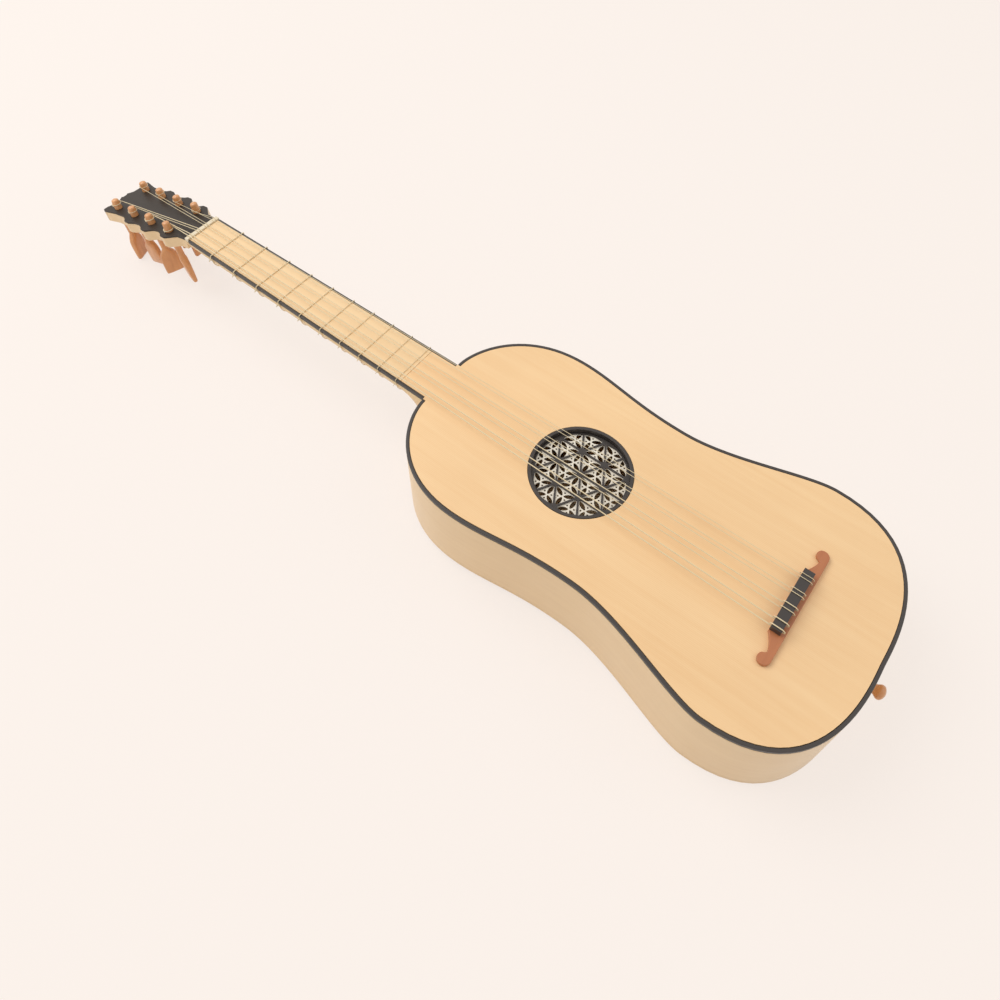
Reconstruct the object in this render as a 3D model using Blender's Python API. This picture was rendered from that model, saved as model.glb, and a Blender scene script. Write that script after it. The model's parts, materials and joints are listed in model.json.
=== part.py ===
"""Four-course renaissance guitar, as an assembly of separate pieces.

The pieces are laid out in the instrument's own frame: +X runs from the nut to the tail, +Y points to the
treble side, +Z out of the soundboard, with X = 0 at the nut's front edge and Z = 0 on the face. An empty
named instrument then sets the whole guitar down on its longest pegs and the tail edge of its back.
"""

import math

import bmesh
import bpy
from mathutils import Matrix, Vector

# Clearance between glued or seated faces.
CLEAR = 0.0003

# Strings and courses.
SCALE_LENGTH = 0.600
COURSES = ("1", "2", "3", "4")
COURSE_AT_BRIDGE = (0.0197, 0.0062, -0.0070, -0.0215)
PAIR_AT_BRIDGE = (0.0033, 0.0032, 0.0044, 0.0058)
COURSE_SPACING_AT_NUT = 0.0094
PAIR_AT_NUT = 0.0028
STRING_DIAMETERS = (0.00050, 0.00050, 0.00058, 0.00058, 0.00080, 0.00065, 0.00095, 0.00095)

# Body.
JOINT_SHARE = 0.4875
BODY_LENGTH = 0.3790
UPPER_BOUT_WIDTH = 0.1786
UPPER_BOUT_STATION = 0.0812
WAIST_WIDTH = 0.1590
WAIST_STATION = 0.1843
LOWER_BOUT_WIDTH = 0.2098
LOWER_BOUT_STATION = 0.2996
SHOULDER_REACH = 0.0232
UPPER_BOUT_REACH = (0.0576, 0.0327)
WAIST_REACH = (0.0485, 0.0408)
LOWER_BOUT_REACH = (0.0239, 0.0860)
TAIL_REACH = 0.0180
CURVE_STEPS = 8
BODY_DEPTH = 0.0750
RIB_THICKNESS = 0.0024
BACK_THICKNESS = 0.0024
FACE_THICKNESS = 0.0022
BINDING_WIDTH = 0.0027
BINDING_HEIGHT = 0.0034
LINING_WIDTH = 0.0045
LINING_HEIGHT = 0.0080
NECK_BLOCK_LENGTH = 0.0320
TAIL_BLOCK_LENGTH = 0.0140
TAIL_BLOCK_WIDTH = 0.0420
BRACE_WIDTH = 0.0060
BRACE_HEIGHT = 0.0140
BRACE_END_HEIGHT = 0.0050
FACE_BRACE_STATIONS = (0.0800, 0.1970)
BACK_BRACE_STATIONS = (0.1050, 0.2650)

# Rose.
ROSE_STATION = 0.1387
ROSE_RING_RADIUS = 0.0403
ROSE_OPENING_RADIUS = 0.0378
ROSE_FLANGE = 0.0055
ROSE_RECESS = 0.0040
ROSE_LATTICE_THICKNESS = 0.0010
ROSE_PLATE_THICKNESS = 0.0010
ROSE_SPACING = 0.0205
ROSE_BAR = 0.0015
ROSE_STAR_RADIUS = 0.0030
ROSE_RIM = 0.0012
PETAL_START = 0.0008
PETAL_LENGTH = 0.0074
PETAL_WIDTH = 0.0028
ROUND_SIDES = 48

# Neck.
NECK_WIDTH_AT_NUT = 0.0383
NECK_WIDTH_AT_BODY = 0.0442
NECK_DEPTH_AT_GRIP = 0.0205
NECK_DEPTH_AT_HEEL = 0.0235
GRIP_STATION = 0.0300
HEEL_LENGTH = 0.0255
HEEL_SQUARENESS = 0.62
NECK_ARC_STEPS = 6
EDGE_STRIP_WIDTH = 0.0021
TONGUE_LENGTH = 0.0260
NUT_THICKNESS = 0.0045
NUT_HEIGHT = 0.0016
FRET_COUNT = 10
FRET_DIAMETERS = (0.00090, 0.00056)
FRET_TAIL = 0.0028

# Peghead.
HEAD_TILT = math.radians(12.3)
HEAD_THICKNESS = 0.0125
VENEER_THICKNESS = 0.0016
HEAD_START_HALF_WIDTH = 0.0184
PEG_STATIONS = (0.0335, 0.0632, 0.0929, 0.1226)
PEG_OFFSET = 0.0170
LOBE_HALF_WIDTHS = (0.0268, 0.0294, 0.0287, 0.0262)
SCOOP_HALF_WIDTHS = (0.0228, 0.0252, 0.0240)
LOBE_HALF_LENGTH = 0.0040
TIP_HALF_WIDTH = 0.0276
TIP_BEYOND_PEG = 0.0140
CREST_BEYOND_PEG = 0.0155
SCALLOP_DIP = 0.0030

# Pegs and the string wound on them.
PEG_TIP_HEIGHT = 0.0102
PEG_TIP_RADIUS = 0.0035
PEG_TAPER = 0.025
PEG_REACH = 0.0595
PEG_COLLAR_RADIUS = 0.0050
PEG_SHANK_RADIUS = 0.0032
GRIP_LENGTH = 0.0285
GRIP_HALF_WIDTH = 0.0092
GRIP_HALF_THICKNESS = 0.0037
PEG_SIDES = 12
PEG_TURNS = (25.0, 100.0, 140.0, 70.0, 118.0, 8.0, 66.0, 164.0)
WINDING_TURNS = 1.5
WINDING_POINTS = 24
WINDING_GAP = 0.00045
NEAR_WINDING_HEIGHT = 0.0030
FAR_WINDING_HEIGHT = 0.0062

# Bridge.
BRIDGE_LENGTH = 0.0112
BRIDGE_HEIGHT = 0.0038
BRIDGE_WING_HEIGHT = 0.0030
BRIDGE_HALF_SPAN = 0.0452
SCROLL_RADIUS = 0.0049
SCROLL_WAIST = 0.0041
WING_WAIST = 0.0050
TIE_BLOCK_LENGTH = 0.0078
TIE_BLOCK_HALF_WIDTH = 0.0262
TIE_BLOCK_TOP = 0.0092
STRING_HEIGHT_AT_BRIDGE = 0.0066
TIE_BEND = 0.0010

# Tail button.
BUTTON_RADIUS = 0.0058
BUTTON_LENGTH = 0.0122
BUTTON_STEM_RADIUS = 0.0030
BUTTON_STEM_LENGTH = 0.0110
BUTTON_DEPTH_SHARE = 0.47
BUTTON_SIDES = 16

BODY_STATION = SCALE_LENGTH * JOINT_SHARE
TAIL_STATION = BODY_STATION + BODY_LENGTH
TONGUE_STATION = BODY_STATION - TONGUE_LENGTH
HEEL_STATION = BODY_STATION - HEEL_LENGTH
SHOULDER_HALF_WIDTH = NECK_WIDTH_AT_BODY / 2 + CLEAR
BACK_TOP = -BODY_DEPTH + BACK_THICKNESS
FACE_LINING_TOP = -FACE_THICKNESS - CLEAR
BACK_LINING_TOP = BACK_TOP + CLEAR + LINING_HEIGHT

NECK_DEPTH_AT_NUT = (HEAD_THICKNESS + (NUT_THICKNESS + CLEAR) * math.sin(HEAD_TILT)) / math.cos(HEAD_TILT)

HEAD_ALONG = Vector((-math.cos(HEAD_TILT), 0, -math.sin(HEAD_TILT)))
HEAD_UP = Vector((-math.sin(HEAD_TILT), 0, math.cos(HEAD_TILT)))


def clear_scene():
    for item in list(bpy.data.objects):
        bpy.data.objects.remove(item)


def wood(name, colour, roughness):
    """A plain Principled material, for wood, bone or gut."""
    found = bpy.data.materials.get(name)
    if found:
        return found
    made = bpy.data.materials.new(name)
    made.use_nodes = True
    shader = made.node_tree.nodes["Principled BSDF"]
    shader.inputs["Base Color"].default_value = (*colour, 1)
    shader.inputs["Roughness"].default_value = roughness
    shader.inputs["Metallic"].default_value = 0.0
    made.diffuse_color = (*colour, 1)
    return made


def spruce():
    return wood("spruce_face", (0.91, 0.68, 0.40), 0.45)


def maple():
    return wood("maple", (0.82, 0.62, 0.38), 0.45)


def fingerboard_wood():
    return wood("pale_fingerboard_wood", (0.87, 0.66, 0.40), 0.40)


def ebony():
    return wood("ebony", (0.035, 0.026, 0.022), 0.35)


def plum():
    return wood("plum_wood", (0.42, 0.13, 0.045), 0.38)


def box_wood():
    return wood("boxwood_peg", (0.55, 0.24, 0.08), 0.38)


def bone():
    return wood("bone", (0.86, 0.77, 0.58), 0.35)


def parchment():
    return wood("parchment", (0.83, 0.76, 0.64), 0.60)


def gut():
    return wood("gut", (0.78, 0.64, 0.40), 0.40)


def place(item, origin, parent):
    item.parent = parent
    item.location = origin
    bpy.context.collection.objects.link(item)
    return item


def solid(name, mesh, material, parent, origin=Vector((0, 0, 0)), smooth=None):
    """An object from a mesh drawn in the parent's frame, with its own origin."""
    mesh.name = name
    mesh.transform(Matrix.Translation(-origin))
    mesh.materials.append(material)
    if smooth is not None:
        mesh.shade_smooth()
        mesh.set_sharp_from_angle(angle=math.radians(smooth))
    return place(bpy.data.objects.new(name, mesh), origin, parent)


def finished(shape):
    """A mesh from a closed shape, with its faces turned outwards."""
    bmesh.ops.recalc_face_normals(shape, faces=shape.faces)
    mesh = bpy.data.meshes.new("shape")
    shape.to_mesh(mesh)
    shape.free()
    return mesh


def loft(rings):
    """A skin over rings of equal length, closed at both ends."""
    shape = bmesh.new()
    rows = [[shape.verts.new(point) for point in ring] for ring in rings]
    for low, high in zip(rows, rows[1:]):
        for j in range(len(low)):
            shape.faces.new((low[j - 1], low[j], high[j], high[j - 1]))
    shape.faces.new(rows[0])
    shape.faces.new(rows[-1])
    return finished(shape)


def turned(profile, centre, axis, steps):
    """A profile, as points, turned full circle about an axis."""
    shape = bmesh.new()
    verts = [shape.verts.new(point) for point in profile]
    edges = [shape.edges.new(pair) for pair in zip(verts, verts[1:])]
    bmesh.ops.spin(
        shape, geom=verts + edges, cent=centre, axis=axis, dvec=(0, 0, 0), angle=2 * math.pi, steps=steps,
        use_merge=True, use_duplicate=False,
    )
    bmesh.ops.remove_doubles(shape, verts=shape.verts, dist=CLEAR / 10)
    return finished(shape)


def plate(outer, holes, top, bottom):
    """A plate with through holes. Its outlines are lists of (a, b); top and bottom turn them into points."""
    shape = bmesh.new()
    for outline in [outer] + holes:
        ring = [shape.verts.new((a, b, 0)) for a, b in outline]
        for i in range(len(ring)):
            shape.edges.new((ring[i - 1], ring[i]))
    bmesh.ops.triangle_fill(shape, use_beauty=True, edges=shape.edges)
    upper = list(shape.verts)
    grown = bmesh.ops.extrude_face_region(shape, geom=shape.faces, use_keep_orig=True)
    lower = [item for item in grown["geom"] if isinstance(item, bmesh.types.BMVert)]
    for vert in upper:
        vert.co = top(vert.co.x, vert.co.y)
    for vert in lower:
        vert.co = bottom(vert.co.x, vert.co.y)
    return finished(shape)


def circle(x, y, radius, sides, turn=0.0):
    step = 2 * math.pi / sides
    return [(x + radius * math.cos(turn + i * step), y + radius * math.sin(turn + i * step)) for i in range(sides)]


def flat_plate(name, outer, holes, z_top, z_bottom, material, parent):
    mesh = plate(outer, holes, lambda a, b: (a, b, z_top), lambda a, b: (a, b, z_bottom))
    return solid(name, mesh, material, parent)


def bezier(p0, p1, p2, p3, steps):
    """Points on a cubic curve, without its first one."""
    found = []
    for i in range(1, steps + 1):
        t = i / steps
        s = 1 - t
        found.append(p0 * s**3 + p1 * (3 * s * s * t) + p2 * (3 * s * t * t) + p3 * t**3)
    return found


def half_outline():
    """Outer edge of the treble half of the body, from the neck to the middle of the tail."""
    start = Vector((BODY_STATION, SHOULDER_HALF_WIDTH))
    upper = Vector((BODY_STATION + UPPER_BOUT_STATION, UPPER_BOUT_WIDTH / 2))
    waist = Vector((BODY_STATION + WAIST_STATION, WAIST_WIDTH / 2))
    lower = Vector((BODY_STATION + LOWER_BOUT_STATION, LOWER_BOUT_WIDTH / 2))
    tail = Vector((TAIL_STATION, 0))
    along = Vector((1, 0))
    across = Vector((0, 1))
    points = [start]
    points += bezier(start, start + across * SHOULDER_REACH, upper - along * UPPER_BOUT_REACH[0], upper, CURVE_STEPS)
    points += bezier(
        upper, upper + along * UPPER_BOUT_REACH[1], waist - along * WAIST_REACH[0], waist, CURVE_STEPS
    )
    points += bezier(waist, waist + along * WAIST_REACH[1], lower - along * LOWER_BOUT_REACH[0], lower, CURVE_STEPS)
    points += bezier(lower, lower + along * LOWER_BOUT_REACH[1], tail + across * TAIL_REACH, tail, CURVE_STEPS)
    return points


def inset(path, distance):
    """The path moved inwards (to the right of its travel) by a distance, with mitred corners."""
    moved = []
    for i, point in enumerate(path):
        before = (path[i] - path[i - 1]).normalized() if i > 0 else None
        after = (path[i + 1] - path[i]).normalized() if i < len(path) - 1 else None
        first = before or after
        second = after or before
        n1 = Vector((first.y, -first.x))
        n2 = Vector((second.y, -second.x))
        middle = (n1 + n2).normalized()
        moved.append(point + middle * (distance / middle.dot(n1)))
    return moved


def straighten_ends(path, distance):
    """The inset path with its ends kept square: the first on the neck's side, the last on the middle line."""
    moved = inset(path, distance)
    moved[0] = Vector((path[0].x + distance, path[0].y))
    moved[-1] = Vector((path[-1].x - distance, path[-1].y))
    return moved


def station_at(path, y):
    """Station of the tail end of a half outline at a half width."""
    for a, b in zip(path[::-1], path[-2::-1]):
        if a.y <= y <= b.y:
            return a.x + (b.x - a.x) * (y - a.y) / (b.y - a.y)
    raise ValueError("the outline is never this wide")


def half_width_at(path, x):
    """Half width of a half outline at a station, the least where it crosses more than once."""
    found = []
    for a, b in zip(path, path[1:]):
        if min(a.x, b.x) <= x <= max(a.x, b.x) and a.x != b.x:
            found.append(a.y + (b.y - a.y) * (x - a.x) / (b.x - a.x))
    return min(found)


def sweep(path, profile, sides):
    """A strip swept along a half outline: down the treble side, the bass side, or round by way of the tail.

    The profile is a list of (inset, z). The sides are 1 for +Y and -1 for -Y.
    """
    rows = [straighten_ends(path, depth) for depth, z in profile]
    order = [(i, sides[0]) for i in range(len(path))]
    if len(sides) > 1:
        order += [(i, sides[1]) for i in range(len(path) - 2, -1, -1)]
    rings = []
    for i, side in order:
        rings.append([Vector((row[i].x, side * row[i].y, z)) for row, (depth, z) in zip(rows, profile)])
    return loft(rings)


def rectangle(outer, inner, top, bottom):
    return [(outer, top), (inner, top), (inner, bottom), (outer, bottom)]


def ribs(parent, outline, cutter):
    """The two sides, bent from thin strips, which meet on the middle line of the tail."""
    path = outline[:-1] + [Vector((outline[-1].x, CLEAR / 2))]
    profile = rectangle(0, RIB_THICKNESS, -BINDING_HEIGHT - CLEAR, BACK_TOP + CLEAR)
    for name, side in (("rib_treble", 1), ("rib_bass", -1)):
        rib = solid(name, sweep(path, profile, (side,)), maple(), parent, smooth=40)
        cut(rib, cutter)


def binding(parent, outline):
    """Dark edging round the face, in one length from the neck's treble side to its bass side."""
    profile = rectangle(0, BINDING_WIDTH, 0, -BINDING_HEIGHT)
    solid("soundboard_binding", sweep(outline, profile, (1, -1)), ebony(), parent, smooth=40)


def linings(parent, outline):
    """Strips inside the corners of the ribs, which the face and the back are glued to."""
    start = SHOULDER_HALF_WIDTH + RIB_THICKNESS + CLEAR
    half = len(outline) // 2
    path = [p for p in outline[:half] if p.y > start] + outline[half:]
    for name, edge, top in (
        ("face_linings", BINDING_WIDTH + CLEAR, FACE_LINING_TOP),
        ("back_linings", RIB_THICKNESS + CLEAR, BACK_LINING_TOP),
    ):
        profile = rectangle(edge, edge + LINING_WIDTH, top, top - LINING_HEIGHT)
        solid(name, sweep(path, profile, (1, -1)), maple(), parent)


def brace(name, x, half_length, foot, towards, parent):
    """A cross bar on the face or the back, thinner at its ends. It stands off its plate along towards."""
    rings = []
    for share, height in ((-1, BRACE_END_HEIGHT), (-0.7, BRACE_HEIGHT), (0.7, BRACE_HEIGHT), (1, BRACE_END_HEIGHT)):
        ring = []
        for side, z in ((-1, 0), (1, 0), (1, height), (-1, height)):
            ring.append(Vector((x + side * BRACE_WIDTH / 2, share * half_length, foot + towards * z)))
        rings.append(ring)
    solid(name, loft(rings), spruce(), parent)


def braces(parent, outline):
    """Bars across the face on both sides of the rose, and across the back."""
    inner = inset(outline, BINDING_WIDTH + LINING_WIDTH + 2 * CLEAR)
    face = -FACE_THICKNESS - CLEAR
    for name, station, foot, towards in (
        ("face_brace_upper", FACE_BRACE_STATIONS[0], face, -1),
        ("face_brace_lower", FACE_BRACE_STATIONS[1], face, -1),
        ("back_brace_upper", BACK_BRACE_STATIONS[0], BACK_TOP + CLEAR, 1),
        ("back_brace_lower", BACK_BRACE_STATIONS[1], BACK_TOP + CLEAR, 1),
    ):
        x = BODY_STATION + station
        reach = min(half_width_at(inner, x + side * BRACE_WIDTH / 2) for side in (-1, 0, 1))
        brace(name, x, reach, foot, towards, parent)


def blocks(parent, outline, cutter):
    """The end blocks that the heel of the neck and the tail button are fixed to."""
    half = NECK_WIDTH_AT_BODY / 2
    top = -FACE_THICKNESS - CLEAR
    start = BODY_STATION + CLEAR
    end = start + NECK_BLOCK_LENGTH
    corners = [(start, -half), (end, -half), (end, half), (start, half)]
    flat_plate("neck_block", corners, [], top, BACK_TOP + CLEAR, maple(), parent)
    inner = straighten_ends(outline, RIB_THICKNESS + CLEAR)
    half = TAIL_BLOCK_WIDTH / 2
    front = inner[-1].x - TAIL_BLOCK_LENGTH
    edge = [p for p in inner if p.y < half and p.x > front]
    x = station_at(inner, half)
    treble = [(front, half), (x, half)] + [(p.x, p.y) for p in edge]
    outer = treble + [(x, -y) for x, y in reversed(treble[:-1])]
    top = FACE_LINING_TOP - LINING_HEIGHT - CLEAR
    block = flat_plate("tail_block", outer, [], top, BACK_LINING_TOP + CLEAR, maple(), parent)
    cut(block, cutter)


def neck_half_width(x):
    share = max(x, 0) / BODY_STATION
    return (NECK_WIDTH_AT_NUT + (NECK_WIDTH_AT_BODY - NECK_WIDTH_AT_NUT) * share) / 2


def soundboard(parent, outline):
    """The face, with the tongue that runs up onto the neck, and the round hole of the rose."""
    edge = straighten_ends(outline, BINDING_WIDTH + CLEAR)
    tongue = []
    for x in (TONGUE_STATION, BODY_STATION):
        tongue.append(Vector((x, neck_half_width(x) - EDGE_STRIP_WIDTH - CLEAR)))
    shoulder = [
        Vector((BODY_STATION, SHOULDER_HALF_WIDTH - CLEAR)),
        Vector((edge[0].x, SHOULDER_HALF_WIDTH - CLEAR)),
    ]
    half = tongue + shoulder + edge[1:]
    outer = [(p.x, p.y) for p in half] + [(p.x, -p.y) for p in reversed(half[:-1])]
    hole = circle(BODY_STATION + ROSE_STATION, 0, ROSE_RING_RADIUS + CLEAR, ROUND_SIDES)
    flat_plate("soundboard", outer, [hole], 0, -FACE_THICKNESS, spruce(), parent)


def back(parent, outline):
    outer = [(p.x, p.y) for p in outline] + [(p.x, -p.y) for p in reversed(outline[:-1])]
    flat_plate("back", outer, [], BACK_TOP, -BODY_DEPTH, maple(), parent)


def clipped(polygon, x, y, radius):
    """A convex polygon cut by a circle, itself taken as a polygon."""
    rim = circle(x, y, radius, ROUND_SIDES)
    for i in range(ROUND_SIDES):
        a = Vector(rim[i])
        b = Vector(rim[(i + 1) % ROUND_SIDES])
        inward = Vector((-(b - a).y, (b - a).x))
        kept = []
        for j in range(len(polygon)):
            p = Vector(polygon[j])
            q = Vector(polygon[(j + 1) % len(polygon)])
            dp = (p - a).dot(inward)
            dq = (q - a).dot(inward)
            if dp >= 0:
                kept.append(tuple(p))
            if (dp >= 0) != (dq >= 0):
                kept.append(tuple(p + (q - p) * (dp / (dp - dq))))
        polygon = kept
        if len(polygon) < 3:
            return []
    return polygon


def area(polygon):
    total = 0.0
    for i in range(len(polygon)):
        x0, y0 = polygon[i]
        x1, y1 = polygon[(i + 1) % len(polygon)]
        total += x0 * y1 - x1 * y0
    return abs(total) / 2


def without_short_edges(polygon, shortest):
    kept = []
    for p in polygon:
        if not kept or (Vector(p) - Vector(kept[-1])).length > shortest:
            kept.append(p)
    if len(kept) > 1 and (Vector(kept[0]) - Vector(kept[-1])).length <= shortest:
        kept.pop()
    return kept


def rose_cells():
    """The corners of each triangle of the rose's lattice, one of whose directions is the strings'."""
    centre = Vector((BODY_STATION + ROSE_STATION, 0))
    step = Vector((ROSE_SPACING, 0))
    lean = Vector((ROSE_SPACING / 2, ROSE_SPACING * math.sqrt(3) / 2))
    reach = math.ceil(ROSE_OPENING_RADIUS / ROSE_SPACING) + 1
    cells = []
    for i in range(-2 * reach, 2 * reach + 1):
        for j in range(-reach, reach + 1):
            corner = centre + step * i + lean * j
            cells.append((corner, corner + step, corner + lean))
            cells.append((corner + step, corner + step + lean, corner + lean))
    return [cell for cell in cells if (sum(cell, Vector((0, 0))) / 3 - centre).length < 2 * ROSE_OPENING_RADIUS]


def lattice_hole(cell):
    """The open triangle between three bars, its corners cut off by the stars on the crossings."""
    middle = sum(cell, Vector((0, 0))) / 3
    hole = []
    for i in range(3):
        corner = cell[i]
        for other in (cell[i - 1], cell[(i + 1) % 3]):
            along = (other - corner).normalized()
            inward = (middle - corner) - along * (middle - corner).dot(along)
            hole.append(tuple(corner + along * ROSE_STAR_RADIUS + inward.normalized() * ROSE_BAR / 2))
    return hole


def petals(cell):
    """Three leaf-shaped holes, from the middle of a triangle towards its corners."""
    middle = sum(cell, Vector((0, 0))) / 3
    found = []
    for corner in cell:
        along = (corner - middle).normalized()
        across = Vector((-along.y, along.x))
        leaf = []
        for share, width in ((0, 0), (0.3, 0.42), (0.65, 0.42), (1, 0), (0.65, -0.42), (0.3, -0.42)):
            spot = middle + along * (PETAL_START + PETAL_LENGTH * share) + across * (PETAL_WIDTH * width)
            leaf.append(tuple(spot))
        found.append(leaf)
    return found


def anticlockwise(polygon):
    total = 0.0
    for i in range(len(polygon)):
        x0, y0 = polygon[i]
        x1, y1 = polygon[(i + 1) % len(polygon)]
        total += x0 * y1 - x1 * y0
    return polygon if total > 0 else polygon[::-1]


def open_parts(shapes, radius, least_area):
    """Shapes cut to the rose's circle, without slivers."""
    x = BODY_STATION + ROSE_STATION
    found = []
    for shape in shapes:
        kept = clipped(anticlockwise(shape), x, 0, radius)
        kept = without_short_edges(kept, CLEAR)
        if len(kept) > 2 and area(kept) > least_area:
            found.append(kept)
    return found


def rose(parent):
    """A turned ring in the face, with a dark lattice on a pierced plate at its foot."""
    x = BODY_STATION + ROSE_STATION
    lattice_bottom = -ROSE_RECESS - ROSE_LATTICE_THICKNESS
    plate_top = lattice_bottom - CLEAR
    under = -FACE_THICKNESS - CLEAR
    flange_radius = ROSE_RING_RADIUS + ROSE_FLANGE
    profile = []
    for radius, z in (
        (ROSE_OPENING_RADIUS, CLEAR),
        (ROSE_RING_RADIUS, CLEAR),
        (ROSE_RING_RADIUS, under),
        (flange_radius, under),
        (flange_radius, lattice_bottom),
        (ROSE_OPENING_RADIUS, lattice_bottom),
        (ROSE_OPENING_RADIUS, CLEAR),
    ):
        profile.append((x + radius, 0, z))
    ring = turned(profile, (x, 0, 0), (0, 0, 1), ROUND_SIDES)
    solid("rose_ring", ring, ebony(), parent, smooth=40)
    disc = ROSE_OPENING_RADIUS - CLEAR
    cells = rose_cells()
    holes = open_parts([lattice_hole(cell) for cell in cells], disc - ROSE_RIM, 4 * ROSE_BAR * ROSE_BAR)
    flat_plate(
        "rose_lattice", circle(x, 0, disc, ROUND_SIDES), holes, -ROSE_RECESS, lattice_bottom, ebony(), parent
    )
    leaves = [leaf for cell in cells for leaf in petals(cell)]
    leaves = open_parts(leaves, disc - 2 * ROSE_RIM, PETAL_WIDTH * PETAL_LENGTH / 4)
    flat_plate(
        "rose_plate",
        circle(x, 0, flange_radius, ROUND_SIDES),
        leaves,
        plate_top,
        plate_top - ROSE_PLATE_THICKNESS,
        parchment(),
        parent,
    )


def neck_depth(x):
    """Depth of the neck below the face: thin at the nut, even along the grip, then down the heel."""
    if x < GRIP_STATION:
        share = (x + NUT_THICKNESS + CLEAR) / (GRIP_STATION + NUT_THICKNESS + CLEAR)
        swell = math.sin(math.pi / 2 * share)
        return NECK_DEPTH_AT_NUT + (NECK_DEPTH_AT_GRIP - NECK_DEPTH_AT_NUT) * swell
    if x <= HEEL_STATION:
        share = (x - GRIP_STATION) / (HEEL_STATION - GRIP_STATION)
        return NECK_DEPTH_AT_GRIP + (NECK_DEPTH_AT_HEEL - NECK_DEPTH_AT_GRIP) * share
    share = min((x - HEEL_STATION) / HEEL_LENGTH, 1)
    return NECK_DEPTH_AT_HEEL + (BODY_DEPTH - NECK_DEPTH_AT_HEEL) * (1 - math.sqrt(1 - share**2))


def neck_round(x, grow=0.0):
    """Points (y, z) down the neck's round back from its treble edge to its bass edge, moved out by grow."""
    half = neck_half_width(x)
    shoulder = BINDING_HEIGHT + CLEAR
    drop = neck_depth(x) - shoulder
    share = min(max((x - HEEL_STATION) / HEEL_LENGTH, 0), 1)
    power = 1 + (HEEL_SQUARENESS - 1) * share
    found = []
    for i in range(2 * NECK_ARC_STEPS + 1):
        angle = math.pi * i / (2 * NECK_ARC_STEPS)
        c = math.cos(angle)
        s = math.sin(angle)
        y = half * math.copysign(abs(c) ** power, c)
        z = -shoulder - drop * abs(s) ** power
        out = Vector((c / half, -s / drop)).normalized()
        found.append((y + out.x * grow, z + out.y * grow))
    return found


def neck(parent):
    """The neck and its heel, rebated along both edges for the dark strips."""
    start = -NUT_THICKNESS - CLEAR
    end = BODY_STATION - CLEAR
    grip = [start + (GRIP_STATION - start) * i / 3 for i in range(4)]
    middle = [GRIP_STATION + (HEEL_STATION - GRIP_STATION) * i / 3 for i in range(1, 4)]
    heel = [HEEL_STATION + (end - HEEL_STATION) * math.sin(math.pi / 2 * i / 6) for i in range(1, 7)]
    rings = []
    for x in grip + middle + heel:
        inner = neck_half_width(x) - EDGE_STRIP_WIDTH - CLEAR
        top = -FACE_THICKNESS - CLEAR
        ledge = -BINDING_HEIGHT - CLEAR
        section = [(-inner, ledge), (-inner, top), (inner, top), (inner, ledge)] + neck_round(x)
        rings.append([Vector((x, y, z)) for y, z in section])
    solid("neck", loft(rings), maple(), parent, smooth=40)


def fingerboard(parent):
    rings = []
    for x in (CLEAR, TONGUE_STATION - CLEAR):
        half = neck_half_width(x) - EDGE_STRIP_WIDTH - CLEAR
        rings.append(
            [
                Vector((x, -half, 0)),
                Vector((x, half, 0)),
                Vector((x, half, -FACE_THICKNESS)),
                Vector((x, -half, -FACE_THICKNESS)),
            ]
        )
    solid("fingerboard", loft(rings), fingerboard_wood(), parent)


def edge_strips(parent):
    """Dark strips along both edges of the neck, which the frets are tied over."""
    for name, side in (("edge_strip_treble", 1), ("edge_strip_bass", -1)):
        rings = []
        for x in (CLEAR, BODY_STATION - CLEAR):
            outer = neck_half_width(x)
            ring = []
            for y, z in (
                (outer, 0),
                (outer - EDGE_STRIP_WIDTH, 0),
                (outer - EDGE_STRIP_WIDTH, -BINDING_HEIGHT),
                (outer, -BINDING_HEIGHT),
            ):
                ring.append(Vector((x, side * y, z)))
            rings.append(ring)
        solid(name, loft(rings), ebony(), parent)


def nut(parent):
    """The bone nut, a little rounded on top."""
    half = NECK_WIDTH_AT_NUT / 2
    foot = -FACE_THICKNESS
    rings = []
    for y in (-half, half):
        ring = []
        for x, z in (
            (-NUT_THICKNESS, foot),
            (0, foot),
            (0, NUT_HEIGHT),
            (-0.5 * NUT_THICKNESS, NUT_HEIGHT + CLEAR / 2),
            (-NUT_THICKNESS, NUT_HEIGHT - CLEAR),
        ):
            ring.append(Vector((x, y, z)))
        rings.append(ring)
    solid("nut", loft(rings), bone(), parent)


def tube(name, points, diameter, material, parent, origin):
    """A cord of round section along points in the parent's frame."""
    curve = bpy.data.curves.new(name, "CURVE")
    curve.dimensions = "3D"
    curve.bevel_depth = diameter / 2
    curve.bevel_resolution = 1
    curve.use_fill_caps = True
    spline = curve.splines.new("POLY")
    spline.points.add(len(points) - 1)
    for point, spot in zip(spline.points, points):
        point.co = (*(spot - origin), 1)
    curve.materials.append(material)
    return place(bpy.data.objects.new(name, curve), origin, parent)


def least_gap(points, diameter, apart):
    """The least clear distance between stretches of a cord that lie more than apart along it."""
    along = [0.0]
    for a, b in zip(points, points[1:]):
        along.append(along[-1] + (b - a).length)
    least = math.inf
    for i in range(len(points)):
        for j in range(i + 1, len(points)):
            if along[j] - along[i] > apart:
                least = min(least, (points[i] - points[j]).length - diameter)
    return least


def fret_station(number):
    return SCALE_LENGTH * (1 - 2 ** (-number / 12))


def fret_diameter(number):
    share = (number - 1) / (FRET_COUNT - 1)
    return FRET_DIAMETERS[0] + (FRET_DIAMETERS[1] - FRET_DIAMETERS[0]) * share


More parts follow.
